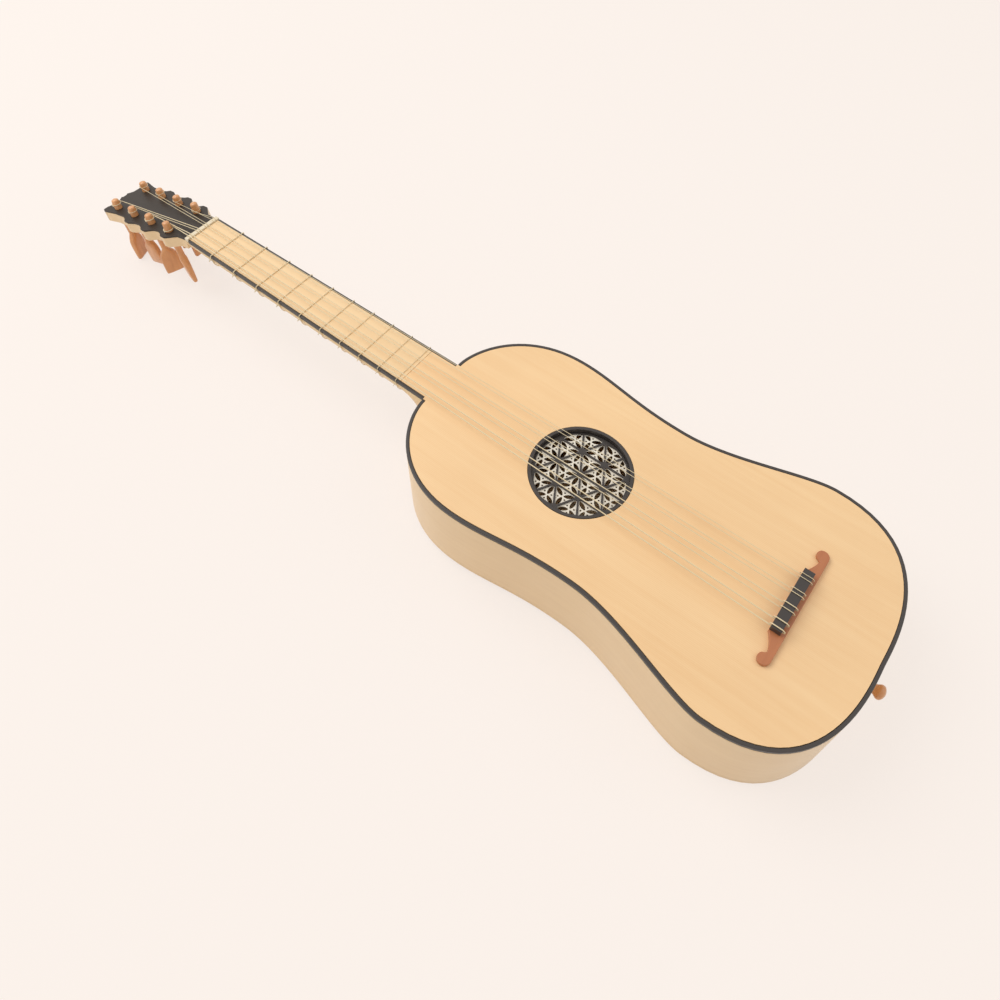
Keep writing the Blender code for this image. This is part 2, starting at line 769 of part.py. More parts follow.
def fret_points(number):
    """One loop of gut round the neck, tied on the bass side, where its two ends stand out."""
    x = fret_station(number)
    radius = fret_diameter(number) / 2
    out = radius + CLEAR
    beside = radius + WINDING_GAP / 2
    half = neck_half_width(x)
    corner = out * math.sqrt(0.5)
    side = -half - out
    low = -BINDING_HEIGHT
    route = [
        (-beside, side - FRET_TAIL, 1.15 * low),
        (-beside, side - FRET_TAIL / 2, low),
        (-beside, side, 0.62 * low),
        (-beside, side, 0),
        (-beside, -half - corner, corner),
        (-beside, -half, out),
        (-beside, half, out),
        (-beside, half + corner, corner),
        (-beside, half + out, 0),
    ]
    arc = neck_round(x, out)
    for i, (y, z) in enumerate(arc):
        share = i / (len(arc) - 1)
        route.append((beside * (2 * share - 1), y, z))
    route += [
        (beside, side - FRET_TAIL / 3, 0.50 * low),
        (beside, side - FRET_TAIL, 0.35 * low),
    ]
    return [Vector((x + dx, y, z)) for dx, y, z in route]


def frets(parent):
    for number in range(1, FRET_COUNT + 1):
        points = fret_points(number)
        diameter = fret_diameter(number)
        origin = Vector((fret_station(number), 0, 0))
        tube("fret_%d" % number, points, diameter, gut(), parent, origin)
        print("fret %d least gap %.2f mm" % (number, 1000 * least_gap(points, diameter, 8 * FRET_TAIL)))


def head_point(along, across, up):
    """A point of the peghead: along from the nut, across to the treble side, up from its face."""
    return HEAD_ALONG * along + Vector((0, across, 0)) + HEAD_UP * up


def head_half_outline():
    """Treble edge of the peghead from the nut to the middle of its end, as (along, across)."""
    start = (NUT_THICKNESS + 2 * CLEAR) / math.cos(HEAD_TILT)
    points = [(start, HEAD_START_HALF_WIDTH), (0.55 * PEG_STATIONS[0], HEAD_START_HALF_WIDTH * 1.04)]
    for i, station in enumerate(PEG_STATIONS[:-1]):
        lobe = LOBE_HALF_WIDTHS[i]
        scoop = SCOOP_HALF_WIDTHS[i]
        points.append((station - LOBE_HALF_LENGTH, lobe))
        points.append((station + LOBE_HALF_LENGTH / 2, lobe))
        points.append((station + LOBE_HALF_LENGTH * 1.2, (lobe + scoop) / 2))
        run = PEG_STATIONS[i + 1] - station
        points.append((station + 0.38 * run, scoop))
        points.append((station + 0.62 * run, scoop + 0.2 * (LOBE_HALF_WIDTHS[i + 1] - scoop)))
    last = PEG_STATIONS[-1]
    end = last + TIP_BEYOND_PEG
    crest = last + CREST_BEYOND_PEG
    points.append((last - LOBE_HALF_LENGTH, LOBE_HALF_WIDTHS[3] - SCALLOP_DIP / 2))
    points.append((last + LOBE_HALF_LENGTH, LOBE_HALF_WIDTHS[3]))
    points.append((end - SCALLOP_DIP, TIP_HALF_WIDTH))
    points.append((end, 0.95 * TIP_HALF_WIDTH))
    points.append((end, 0.78 * TIP_HALF_WIDTH))
    points.append((end - SCALLOP_DIP, 0.55 * TIP_HALF_WIDTH))
    points.append((end - 0.8 * SCALLOP_DIP, 0.33 * TIP_HALF_WIDTH))
    points.append((crest, 0.12 * TIP_HALF_WIDTH))
    points.append((crest - SCALLOP_DIP / 2, 0.08 * TIP_HALF_WIDTH))
    points.append((crest - SCALLOP_DIP / 2, 0))
    return points


def peg_radius(up):
    return PEG_TIP_RADIUS + PEG_TAPER * (PEG_TIP_HEIGHT - up)


def head_layer(name, top, bottom, material, parent):
    """One layer of the peghead, with the holes of the eight pegs and its end against the neck kept upright."""
    half = head_half_outline()
    outer = [(a, b) for a, b in half] + [(a, -b) for a, b in reversed(half[:-1])]
    start = half[0][0]
    holes = []
    for station in PEG_STATIONS:
        for side in (1, -1):
            holes.append(circle(station, side * PEG_OFFSET, peg_radius(bottom) + CLEAR, PEG_SIDES))

    def at(up):
        def point(a, b):
            lean = -up * math.tan(HEAD_TILT) if a < start + CLEAR else 0
            return head_point(a + lean, b, up)

        return point

    solid(name, plate(outer, holes, at(top), at(bottom)), material, parent)


def peghead(parent):
    head_layer("peghead", -VENEER_THICKNESS - CLEAR, -HEAD_THICKNESS, maple(), parent)
    head_layer("peghead_veneer", 0, -VENEER_THICKNESS, ebony(), parent)


def peg_sections():
    """Half width, half thickness and height of each section of a peg, from its tip to the end of its grip."""
    collar = -HEAD_THICKNESS - CLEAR
    grip = -PEG_REACH + GRIP_LENGTH
    sections = []
    for up in (PEG_TIP_HEIGHT, -HEAD_THICKNESS):
        radius = peg_radius(up)
        if up == PEG_TIP_HEIGHT:
            sections.append((0.55 * radius, 0.55 * radius, up))
            up -= 0.4 * PEG_TIP_RADIUS
        sections.append((radius, radius, up))
    sections.append((PEG_COLLAR_RADIUS, PEG_COLLAR_RADIUS, collar - CLEAR))
    sections.append((PEG_COLLAR_RADIUS, PEG_COLLAR_RADIUS, collar - 0.4 * PEG_COLLAR_RADIUS))
    sections.append((PEG_SHANK_RADIUS, PEG_SHANK_RADIUS, collar - PEG_COLLAR_RADIUS))
    sections.append((PEG_SHANK_RADIUS, PEG_SHANK_RADIUS, grip))
    shape = ((0.10, 0.50, 1.0), (0.28, 0.84, 1.0), (0.55, 1.0, 0.9), (0.84, 0.98, 0.75), (0.97, 0.80, 0.55))
    for share, wide, thick in shape:
        sections.append((GRIP_HALF_WIDTH * wide, GRIP_HALF_THICKNESS * thick, grip - GRIP_LENGTH * share))
    sections.append((0.55 * GRIP_HALF_WIDTH, 0.30 * GRIP_HALF_THICKNESS, -PEG_REACH))
    return sections


def strings():
    """Name, side, rank of its peg from the nut, places at the nut and the bridge, and diameter of each string."""
    found = []
    for course in range(4):
        for half in (0, 1):
            number = 2 * course + half
            side = 1 if number < 4 else -1
            rank = number if number < 4 else 7 - number
            across = 0.5 if half == 0 else -0.5
            at_nut = COURSE_SPACING_AT_NUT * (1.5 - course) + PAIR_AT_NUT * across
            at_bridge = COURSE_AT_BRIDGE[course] + PAIR_AT_BRIDGE[course] * across
            label = COURSES[course] + "ab"[half]
            found.append((label, side, rank, at_nut, at_bridge, STRING_DIAMETERS[number]))
    return found


def winding_route(side, rank, at_nut, diameter):
    """Points of the string wound on its peg, with the straight lead that points at the nut, and that lead's aim."""
    station = PEG_STATIONS[rank]
    up = NEAR_WINDING_HEIGHT if rank == 0 else FAR_WINDING_HEIGHT
    radius = peg_radius(up - WINDING_TURNS * (diameter + WINDING_GAP)) + diameter / 2 + CLEAR
    centre = Vector((station, side * PEG_OFFSET))
    over_nut = Vector((-NUT_THICKNESS, at_nut, NUT_HEIGHT + CLEAR + diameter / 2))
    nut_spot = Vector((over_nut.dot(HEAD_ALONG), at_nut))
    to_nut = nut_spot - centre
    facing = math.atan2(to_nut.y, to_nut.x)
    spread = math.acos(radius / to_nut.length)
    choices = []
    for sign in (1, -1):
        angle = facing + sign * spread
        touch = centre + radius * Vector((math.cos(angle), math.sin(angle)))
        choices.append((abs(touch.y), angle, sign, touch))
    near, angle, sign, touch = min(choices)
    start = head_point(touch.x, touch.y, up)
    aim = (over_nut - start).normalized()
    lead = 1.15 * math.sqrt(2 * diameter * radius)
    route = [start + aim * lead, start]
    count = round(WINDING_TURNS * WINDING_POINTS)
    for i in range(1, count + 1):
        turn = angle + sign * 2 * math.pi * i / WINDING_POINTS
        drop = (diameter + WINDING_GAP) * i / WINDING_POINTS
        spot = centre + radius * Vector((math.cos(turn), math.sin(turn)))
        route.append(head_point(spot.x, spot.y, up - drop))
    route.append(route[-1] + (route[-1] - route[-2]).normalized() * diameter)
    return route, route[0] + aim * CLEAR, over_nut


def pegs(parent):
    """Eight pegs set from behind, each with the turns of string that it carries above the face."""
    axes = Matrix((HEAD_ALONG, HEAD_UP.cross(HEAD_ALONG), HEAD_UP)).transposed().to_4x4()
    for label, side, rank, at_nut, at_bridge, diameter in strings():
        origin = head_point(PEG_STATIONS[rank], side * PEG_OFFSET, 0)
        turn = math.radians(PEG_TURNS[rank if side > 0 else 7 - rank])
        rings = []
        for wide, thick, up in peg_sections():
            ring = []
            for x, y in circle(0, 0, 1, PEG_SIDES):
                spot = Matrix.Rotation(turn, 4, "Z") @ Vector((x * wide, y * thick, up))
                ring.append(origin + axes @ spot)
            rings.append(ring)
        peg = solid("peg_" + label, loft(rings), box_wood(), parent, origin, smooth=50)
        route, end, over_nut = winding_route(side, rank, at_nut, diameter)
        winding = tube("winding_" + label, [p - origin for p in route], diameter, gut(), peg, Vector((0, 0, 0)))
        gap = least_gap(route, diameter, 2 * math.pi * peg_radius(0) * 0.6)
        print("winding %s least gap %.2f mm" % (label, 1000 * gap))


def string_runs(parent):
    """Each string from its peg over the nut to the bridge, through the tie block and back over its top."""
    front = SCALE_LENGTH
    rear = SCALE_LENGTH + TIE_BLOCK_LENGTH
    for label, side, rank, at_nut, at_bridge, diameter in strings():
        route, end, over_nut = winding_route(side, rank, at_nut, diameter)
        radius = diameter / 2
        out = radius + CLEAR
        top = TIE_BLOCK_TOP + out
        low = STRING_HEIGHT_AT_BRIDGE
        bend = TIE_BEND
        loop = (
            (rear + out, low),
            (rear + out + bend, low + bend),
            (rear + out + bend, TIE_BLOCK_TOP - bend / 2),
            (rear, top),
            (front, top),
            (front - out - bend / 2, TIE_BLOCK_TOP),
            (front - out - bend / 2, low + 3 * radius + CLEAR),
        )
        points = [end, over_nut, Vector((0, at_nut, over_nut.z))]
        points += [Vector((x, at_bridge, z)) for x, z in ((front - out, low),) + loop]
        tube("string_" + label, points, diameter, gut(), parent, Vector((0, 0, 0)))


def scroll_end():
    """Treble end of the bridge's base as (x, y): along the tail edge, round the scroll and back up the wing."""
    rear = SCALE_LENGTH + BRIDGE_LENGTH
    cx = rear - SCROLL_RADIUS
    cy = BRIDGE_HALF_SPAN
    points = [(rear, TIE_BLOCK_HALF_WIDTH)]
    for i in range(11):
        angle = math.radians(25 * i)
        radius = SCROLL_RADIUS + (SCROLL_WAIST - SCROLL_RADIUS) * max(i - 5, 0) / 5
        points.append((cx + radius * math.cos(angle), cy + radius * math.sin(angle)))
    run = cy - SCROLL_RADIUS - TIE_BLOCK_HALF_WIDTH
    for share in (1.0, 0.72, 0.42, 0.15):
        y = TIE_BLOCK_HALF_WIDTH + run * share
        x = rear - WING_WAIST - (BRIDGE_LENGTH - WING_WAIST) * (1 - share) ** 1.6
        points.append((x, y))
    points.append((SCALE_LENGTH, TIE_BLOCK_HALF_WIDTH + CLEAR))
    return points


def bridge(parent):
    """The reddish base with a scroll at each end, and the black block that the strings are tied to."""
    half = scroll_end()
    outer = half + [(x, -y) for x, y in reversed(half)]

    def top(a, b):
        share = min(max((abs(b) - TIE_BLOCK_HALF_WIDTH) / (BRIDGE_HALF_SPAN - TIE_BLOCK_HALF_WIDTH), 0), 1)
        return (a, b, BRIDGE_HEIGHT + (BRIDGE_WING_HEIGHT - BRIDGE_HEIGHT) * share)

    solid("bridge", plate(outer, [], top, lambda a, b: (a, b, CLEAR)), plum(), parent)
    low = BRIDGE_HEIGHT + CLEAR
    outer = [
        (-TIE_BLOCK_HALF_WIDTH, low),
        (TIE_BLOCK_HALF_WIDTH, low),
        (TIE_BLOCK_HALF_WIDTH, TIE_BLOCK_TOP),
        (-TIE_BLOCK_HALF_WIDTH, TIE_BLOCK_TOP),
    ]
    holes = []
    for label, side, rank, at_nut, at_bridge, diameter in strings():
        holes.append(circle(at_bridge, STRING_HEIGHT_AT_BRIDGE, diameter / 2 + 1.2 * CLEAR, 8))
    front = SCALE_LENGTH
    rear = SCALE_LENGTH + TIE_BLOCK_LENGTH
    block = plate(outer, holes, lambda a, b: (front, a, b), lambda a, b: (rear, a, b))
    solid("tie_block", block, ebony(), parent)


def button_turned(profile):
    """A piece turned on the button's axis, from (station, radius) pairs."""
    z = -BODY_DEPTH * BUTTON_DEPTH_SHARE
    ends = [(profile[0][0], 0)] + list(profile) + [(profile[-1][0], 0)]
    points = [(x, 0, z + radius) for x, radius in ends]
    return turned(points, (0, 0, z), (1, 0, 0), BUTTON_SIDES)


def button_hole(parent):
    """The cutter of the button's hole through the ribs and the tail block."""
    radius = BUTTON_STEM_RADIUS + CLEAR
    low = TAIL_STATION - BUTTON_STEM_LENGTH - CLEAR
    hole = button_turned(((low, radius), (TAIL_STATION + BUTTON_LENGTH, radius)))
    cutter = solid("button_hole_cutter", hole, maple(), parent)
    cutter.hide_render = True
    cutter.display_type = "WIRE"
    return cutter


def cut(item, cutter):
    boolean = item.modifiers.new("button_hole", "BOOLEAN")
    boolean.operation = "DIFFERENCE"
    boolean.solver = "EXACT"
    boolean.object = cutter


def tail_button(parent):
    """The turned button at the tail, for a strap, with its stem in the tail block."""
    face = TAIL_STATION + CLEAR
    profile = (
        (TAIL_STATION - BUTTON_STEM_LENGTH, 0.8 * BUTTON_STEM_RADIUS),
        (TAIL_STATION - 0.2 * BUTTON_STEM_LENGTH, BUTTON_STEM_RADIUS),
        (face, BUTTON_STEM_RADIUS),
        (face + CLEAR, 0.80 * BUTTON_RADIUS),
        (face + 0.12 * BUTTON_LENGTH, 0.80 * BUTTON_RADIUS),
        (face + 0.24 * BUTTON_LENGTH, 0.58 * BUTTON_RADIUS),
        (face + 0.42 * BUTTON_LENGTH, 0.66 * BUTTON_RADIUS),
        (face + 0.62 * BUTTON_LENGTH, BUTTON_RADIUS),
        (face + 0.82 * BUTTON_LENGTH, 0.94 * BUTTON_RADIUS),
        (face + 0.95 * BUTTON_LENGTH, 0.55 * BUTTON_RADIUS),
        (face + BUTTON_LENGTH, 0.15 * BUTTON_RADIUS),
    )
    solid("tail_button", button_turned(profile), box_wood(), parent, smooth=50)


def set_down(instrument):
    """Turns and shifts the guitar so that it lies on its pegs and its tail, centred over the origin."""
    bpy.context.view_layer.update()
    pieces = [item for item in bpy.data.objects if item.type == "MESH" and not item.hide_render]
    into = instrument.matrix_world.inverted()
    corners = {}
    for item in pieces:
        corners[item.name] = [into @ item.matrix_world @ v.co for v in item.data.vertices]
    peg_points = [p for name, points in corners.items() if name.startswith("peg_") for p in points]
    foot = min(peg_points, key=lambda p: p.z)
    tail = Vector((TAIL_STATION, 0, -BODY_DEPTH))
    lean = math.atan2(tail.z - foot.z, tail.x - foot.x)
    turn = Matrix.Rotation(lean, 4, "Y")
    turned = [turn @ p for points in corners.values() for p in points]
    low = [min(p[i] for p in turned) for i in range(3)]
    high = [max(p[i] for p in turned) for i in range(3)]
    instrument.rotation_euler = (0, lean, 0)
    instrument.location = (-(low[0] + high[0]) / 2, -(low[1] + high[1]) / 2, -low[2])
    bpy.context.view_layer.update()


def main():
    clear_scene()
    instrument = bpy.data.objects.new("instrument", None)
    bpy.context.collection.objects.link(instrument)
    outline = half_outline()
    cutter = button_hole(instrument)
    soundboard(instrument, outline)
    binding(instrument, outline)
    back(instrument, outline)
    ribs(instrument, outline, cutter)
    linings(instrument, outline)
    braces(instrument, outline)
    blocks(instrument, outline, cutter)
    rose(instrument)
    neck(instrument)
    fingerboard(instrument)
    edge_strips(instrument)
    nut(instrument)
    peghead(instrument)
    pegs(instrument)
    frets(instrument)
    bridge(instrument)
    string_runs(instrument)
    tail_button(instrument)
    set_down(instrument)


main()
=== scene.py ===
"""Looks of a four-course renaissance guitar: woods, gut, bone and a pierced rose, on a pale studio floor."""

import json
import math

import bmesh
import bpy
from bpy.props import FloatProperty, FloatVectorProperty, IntProperty, PointerProperty
from mathutils import Euler, Matrix, Vector


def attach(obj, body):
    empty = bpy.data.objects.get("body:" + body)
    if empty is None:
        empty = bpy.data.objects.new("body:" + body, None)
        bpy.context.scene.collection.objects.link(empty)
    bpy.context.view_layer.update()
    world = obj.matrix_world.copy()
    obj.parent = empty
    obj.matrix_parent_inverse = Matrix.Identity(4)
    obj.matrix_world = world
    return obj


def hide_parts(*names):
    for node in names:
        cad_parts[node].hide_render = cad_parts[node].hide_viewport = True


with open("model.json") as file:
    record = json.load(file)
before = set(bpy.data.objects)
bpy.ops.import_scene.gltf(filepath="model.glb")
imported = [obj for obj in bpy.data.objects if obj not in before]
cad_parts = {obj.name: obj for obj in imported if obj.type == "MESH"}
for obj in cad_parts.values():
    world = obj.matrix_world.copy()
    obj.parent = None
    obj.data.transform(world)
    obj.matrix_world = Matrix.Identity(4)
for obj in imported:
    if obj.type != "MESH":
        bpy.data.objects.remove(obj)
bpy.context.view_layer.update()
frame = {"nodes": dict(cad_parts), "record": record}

bl_info = {
    "name": "Renaissance Guitar",
    "version": (1, 0, 0),
    "blender": (4, 5, 0),
    "location": "3D View > Sidebar > Guitar",
    "description": "Dresses a four-course renaissance guitar in its woods, gut and bone",
    "category": "Object",
}

BODY_OF = {node: body for body, nodes in frame["record"]["behaviour"]["bodies"].items() for node in nodes}
COURSES = [number + half for number in "1234" for half in "ab"]
FRETS = range(1, 11)

# The guitar lies on its pegs and its tail, so its own frame is turned and lifted a little.
INSTRUMENT_LEAN = 0.012538573
INSTRUMENT_PLACE = (-0.2741135, 0.0, 0.0834151)
PLACED = Matrix.Translation(INSTRUMENT_PLACE) @ Matrix.Rotation(INSTRUMENT_LEAN, 4, "Y")

# Sizes of the body, as in the CAD, for the pieces that are built again here.
GAP = 0.0003
BODY_START = 0.2925
BODY_LENGTH = 0.3790
BODY_DEPTH = 0.0750
RIB_THICKNESS = 0.0024
BACK_THICKNESS = 0.0024
FACE_THICKNESS = 0.0022
BINDING_HEIGHT = 0.0034
BINDING_WIDTH = 0.0027

# Outline of the body: the shoulder's half width, then the place along the body and the half width of the rest.
SHOULDER_HALF = 0.0224
UPPER_BOUT = (0.0812, 0.0893)
WAIST = (0.1843, 0.0795)
LOWER_BOUT = (0.2996, 0.1049)
# Lengths of the curve handles at these places, towards the neck and towards the tail.
SHOULDER_REACH = 0.0232
UPPER_REACH = (0.0576, 0.0327)
WAIST_REACH = (0.0485, 0.0408)
LOWER_REACH = (0.0239, 0.0860)
TAIL_REACH = 0.0180

TONGUE_START = 0.2665
NECK_WIDTH_AT_NUT = 0.0383
NECK_WIDTH_AT_BODY = 0.0442
STRIP_WIDTH = 0.0021

ROSE_CENTRE = BODY_START + 0.1387
ROSE_HOLE = 0.0406
ROSE_HOLE_POINTS = 128
ROSE_SPACING = 0.0205
ROSE_REACH = (6, 3)
# The plate has the CAD's outline and top, and is half as thick.
PLATE_RADIUS = 0.0458
PLATE_POINTS = 96
PLATE_TOP = -0.0053
PLATE_THICKNESS = 0.0005
PLATE_RIM = 0.0360
RIM_MARGIN = 0.0004
LEAST_EDGE = 0.00012
LEAST_POINTS = 6
# Petals and dots, their places measured from the middle of a triangle of the rose.
PETAL_MIDDLE = 0.0048
PETAL_HALF_LENGTH = 0.0041
PETAL_HALF_WIDTH = 0.0017
PETAL_POINTEDNESS = 0.35
PETAL_POINTS = 16
DOT_PLACE = 0.0035
DOT_RADIUS = 0.00075
DOT_POINTS = 10

HEAD_TILT = math.radians(12.3)
HEAD_THICKNESS = 0.0125
PEG_STATIONS = (0.0335, 0.0632, 0.0929, 0.1226)
PEG_OFFSET = 0.0170
PEG_TURNS = (25.0, 100.0, 140.0, 70.0, 118.0, 8.0, 66.0, 164.0)
PEG_TIP_HEIGHT = 0.0102
PEG_TIP_RADIUS = 0.0035
PEG_TAPER = 0.025
PEG_COLLAR_RADIUS = 0.0050
PEG_SHANK_RADIUS = 0.0032
PEG_REACH = 0.0595
PEG_POINTS = 24
GRIP_LENGTH = 0.0285
GRIP_HALF_WIDTH = 0.0092
GRIP_HALF_THICKNESS = 0.0037
# Share of the tip's radius, and depth below the top of the peg.
TIP_DOME = ((0.30, 0), (0.66, 0.00022), (0.88, 0.0007), (0.98, 0.0013))
TIP_DOME_DEPTH = 0.0020
# Share of the collar's radius, and depth below the head.
COLLAR_SHAPE = ((0.86, 0.0003), (1, 0.0007), (1, 0.0020), (0.92, 0.0027), (0.72, 0.0039), (0.64, 0.0050))
# Share of the grip's length, of its half width and of its half thickness.
GRIP_SHAPE = (
    (0.05, 0.42, 1.00), (0.11, 0.58, 1.03), (0.18, 0.75, 1.00), (0.27, 0.87, 0.95), (0.40, 0.94, 0.90),
    (0.60, 0.98, 0.82), (0.80, 1.00, 0.72), (0.95, 1.00, 0.62), (0.985, 0.97, 0.55), (1.0, 0.90, 0.42),
)
GRIP_SQUARE_FROM = 0.3
GRIP_SQUARENESS = 0.5

SMALL_ROUND = 0.0001
PLATE_EDGE_ROUND = 0.00012
VENEER_ROUND = 0.00025
BLOCK_ROUND = 0.0003
BRACE_ROUND = 0.0008
EDGE_ANGLE = math.radians(40.0)
SHARP_ANGLE = 35.0
TURNED_ANGLE = 30.0
PEG_ANGLE = 42.0
NECK_ANGLE = 45.0
BUTTON_ANGLE = 50.0
CORD_ANGLE = 75.0
FLAT_ANGLE = math.radians(0.4)
PLATE_FLAT_ANGLE = math.radians(0.2)
SAME_POINT = 0.000001

FLOOR_DROP = 0.0002
FLOOR_MOTTLE = (0.93, 0.85, 0.79, 1.0)
STUDIO_AIR = (0.98, 0.95, 0.92, 1.0)
STAIN_TINT = (0.62, 0.50, 0.38, 1.0)
LIT_POINT = (0.05, 0, 0.05)
KEY_PLACE = (-1.4, -0.3, 2.1)
KEY_SIZE = 2.2
FILL_PLACE = (1.5, 0.9, 1.7)
FILL_SIZE = 1.4
CAMERA_PLACE = (0.327779, -0.319253, 0.656854)
CAMERA_TURN = (40.07, 0.3871, 37.7117)
SENSOR_WIDTH = 36.0


def colour_property(name, description, default):
    return FloatVectorProperty(
        name=name, description=description, default=default, subtype="COLOR", size=3, min=0.0, max=1.0
    )


def length_property(name, description, default):
    return FloatProperty(name=name, description=description, default=default, min=0.0, unit="LENGTH", precision=5)


class GuitarColours(bpy.types.PropertyGroup):
    """Colours of the guitar's woods, gut and bone."""

    spruce: colour_property("Spruce", "Soundboard, between its year lines", (0.97, 0.680, 0.375))
    spruce_line: colour_property("Spruce year line", "Year lines of the soundboard", (0.80, 0.455, 0.190))
    fingerboard: colour_property("Fingerboard", "Pale wood of the fingerboard", (0.930, 0.690, 0.400))
    maple: colour_property("Maple", "Sides, back and neck", (0.860, 0.640, 0.370))
    maple_line: colour_property("Maple grain", "Grain of the sides, back and neck", (0.690, 0.460, 0.225))
    ebony: colour_property("Ebony", "Binding, strips, tie block and rose", (0.017, 0.0100, 0.0060))
    veneer: colour_property("Head veneer", "Face of the peghead", (0.033, 0.023, 0.016))
    plum: colour_property("Plum wood", "Base of the bridge", (0.540, 0.200, 0.080))
    plum_line: colour_property("Plum grain", "Grain of the bridge", (0.380, 0.110, 0.038))
    boxwood: colour_property("Peg wood", "Pegs and tail button", (0.800, 0.400, 0.160))
    boxwood_line: colour_property("Peg grain", "Grain of the pegs and the button", (0.500, 0.175, 0.055))
    bone: colour_property("Bone", "Nut", (0.860, 0.760, 0.560))
    parchment: colour_property("Rose plate", "Pierced plate of the rose", (0.980, 0.920, 0.790))
    gut: colour_property("Gut", "Strings and frets", (0.950, 0.760, 0.500))


class GuitarSizes(bpy.types.PropertyGroup):
    """Fine sizes of the guitar's finish."""

    outline_steps: IntProperty(
        name="Outline steps", description="Points on each of the four curves of the body's outline", default=24, min=8
    )
    edge_round: length_property("Edge rounding", "Rounding of the small wooden edges", 0.0004)
    bridge_round: length_property("Bridge rounding", "Rounding of the bridge's edges", 0.0007)
    binding_round: length_property("Binding rounding", "Rounding of the binding's edges", 0.0006)
    year_line: length_property("Year line spacing", "Distance between the soundboard's year lines", 0.0013)


class StageSettings(bpy.types.PropertyGroup):
    """Floor, light and camera."""

    floor: colour_property("Floor", "Colour of the floor", (0.975, 0.895, 0.835))
    backdrop: colour_property("Backdrop", "Light that the floor adds for the camera", (0.973, 0.896, 0.840))
    glow: FloatProperty(name="Backdrop share", description="How much of the floor is backdrop", default=0.78, max=1.0)
    floor_size: length_property("Floor size", "Side of the floor", 12.0)
    ambient: FloatProperty(name="Ambient light", description="Strength of the light from all round", default=0.60)
    key: FloatProperty(name="Key light", description="Power of the large soft lamp", default=33.0, subtype="POWER")
    fill: FloatProperty(name="Fill light", description="Power of the second soft lamp", default=5.0, subtype="POWER")
    focal_length: FloatProperty(name="Focal length", description="Camera lens in millimetres", default=31.918)
    side_shift: FloatProperty(name="Side shift", description="Sideways shift of the camera's picture", default=0.0038)
    shift: FloatProperty(name="Shift", description="Upward shift of the camera's picture", default=-0.1597)


def colours():
    return bpy.context.scene.guitar_colours


def sizes():
    return bpy.context.scene.guitar_sizes


class Nodes:
    """Short calls for a node tree."""

    def __init__(self, tree):
        self.tree = tree

    def add(self, kind, label=None, **settings):
        node = self.tree.nodes.new(kind)
        if label:
            node.label = label
        for name, value in settings.items():
            setattr(node, name, value)
        return node

    def join(self, source, target):
        self.tree.links.new(source, target)

    def set(self, node, **values):
        self.fill([node.inputs[name.replace("_", " ")] for name in values], values.values())

    def fill(self, sockets, values):
        """Gives each socket its value, or a link where the value is another node's output."""
        for socket, value in zip(sockets, values):
            if hasattr(value, "is_output"):
                self.join(value, socket)
            else:
                socket.default_value = value

    def math(self, operation, first, second):
        node = self.add("ShaderNodeMath", operation=operation)
        self.fill(node.inputs, (first, second))
        return node.outputs[0]

    def mix(self, factor, first, second, blend="MIX"):
        node = self.add("ShaderNodeMix", data_type="RGBA", blend_type=blend)
        self.fill((node.inputs[0], node.inputs[6], node.inputs[7]), (factor, first, second))
        return node.outputs[2]

    def spread(self, value, low, high, to_low=0.0, to_high=1.0):
        node = self.add("ShaderNodeMapRange")
        self.set(node, Value=value, From_Min=low, From_Max=high, To_Min=to_low, To_Max=to_high)
        return node.outputs["Result"]

    def noise(self, vector, scale, detail=3.0, roughness=0.55):
        node = self.add("ShaderNodeTexNoise")
        self.set(node, Vector=vector, Scale=scale, Detail=detail, Roughness=roughness)
        return node.outputs["Fac"]


def new_group(name, inputs, outputs):
    """An empty shader node group with sockets given as (name, type, default)."""
    group = bpy.data.node_groups.new(name, "ShaderNodeTree")
    for label, kind, default in inputs:
        socket = group.interface.new_socket(label, in_out="INPUT", socket_type=kind)
        if default is not None:
            socket.default_value = default
    for label, kind in outputs:
        group.interface.new_socket(label, in_out="OUTPUT", socket_type=kind)
    nodes = Nodes(group)
    return group, nodes, nodes.add("NodeGroupInput"), nodes.add("NodeGroupOutput")


def grain_group():
    """Wood grain: streaks where the vector is stretched, over slow changes of tone, and fine pores."""
    group = bpy.data.node_groups.get("wood_grain")
    if group:
        return group
    group, n, given, result = new_group(
        "wood_grain",
        [
            ("Vector", "NodeSocketVector", None),
            ("Light", "NodeSocketColor", None),
            ("Dark", "NodeSocketColor", None),
            ("Streaks", "NodeSocketFloat", 60.0),
            ("Contrast", "NodeSocketFloat", 0.6),
            ("Pores", "NodeSocketFloat", 0.2),
        ],
        [("Color", "NodeSocketColor"), ("Height", "NodeSocketFloat")],
    )
    vector = given.outputs["Vector"]
    streaks = given.outputs["Streaks"]
    fine = n.noise(vector, streaks, 5.0, 0.62)
    broad = n.noise(vector, n.math("MULTIPLY", streaks, 0.17), 2.0, 0.5)
    pores = n.noise(vector, n.math("MULTIPLY", streaks, 5.0), 1.0, 0.4)
    figure = n.math("ADD", n.math("MULTIPLY", fine, 0.55), n.math("MULTIPLY", broad, 0.45))
    figure = n.spread(figure, 0.34, 0.66)
    pits = n.math("MULTIPLY", n.spread(pores, 0.60, 0.72), given.outputs["Pores"])
    mask = n.math("MULTIPLY", figure, given.outputs["Contrast"])
    mask = n.math("MAXIMUM", mask, pits)
    n.join(n.mix(mask, given.outputs["Light"], given.outputs["Dark"]), result.inputs["Color"])
    n.join(n.math("SUBTRACT", n.math("MULTIPLY", fine, 0.35), pits), result.inputs["Height"])
    return group


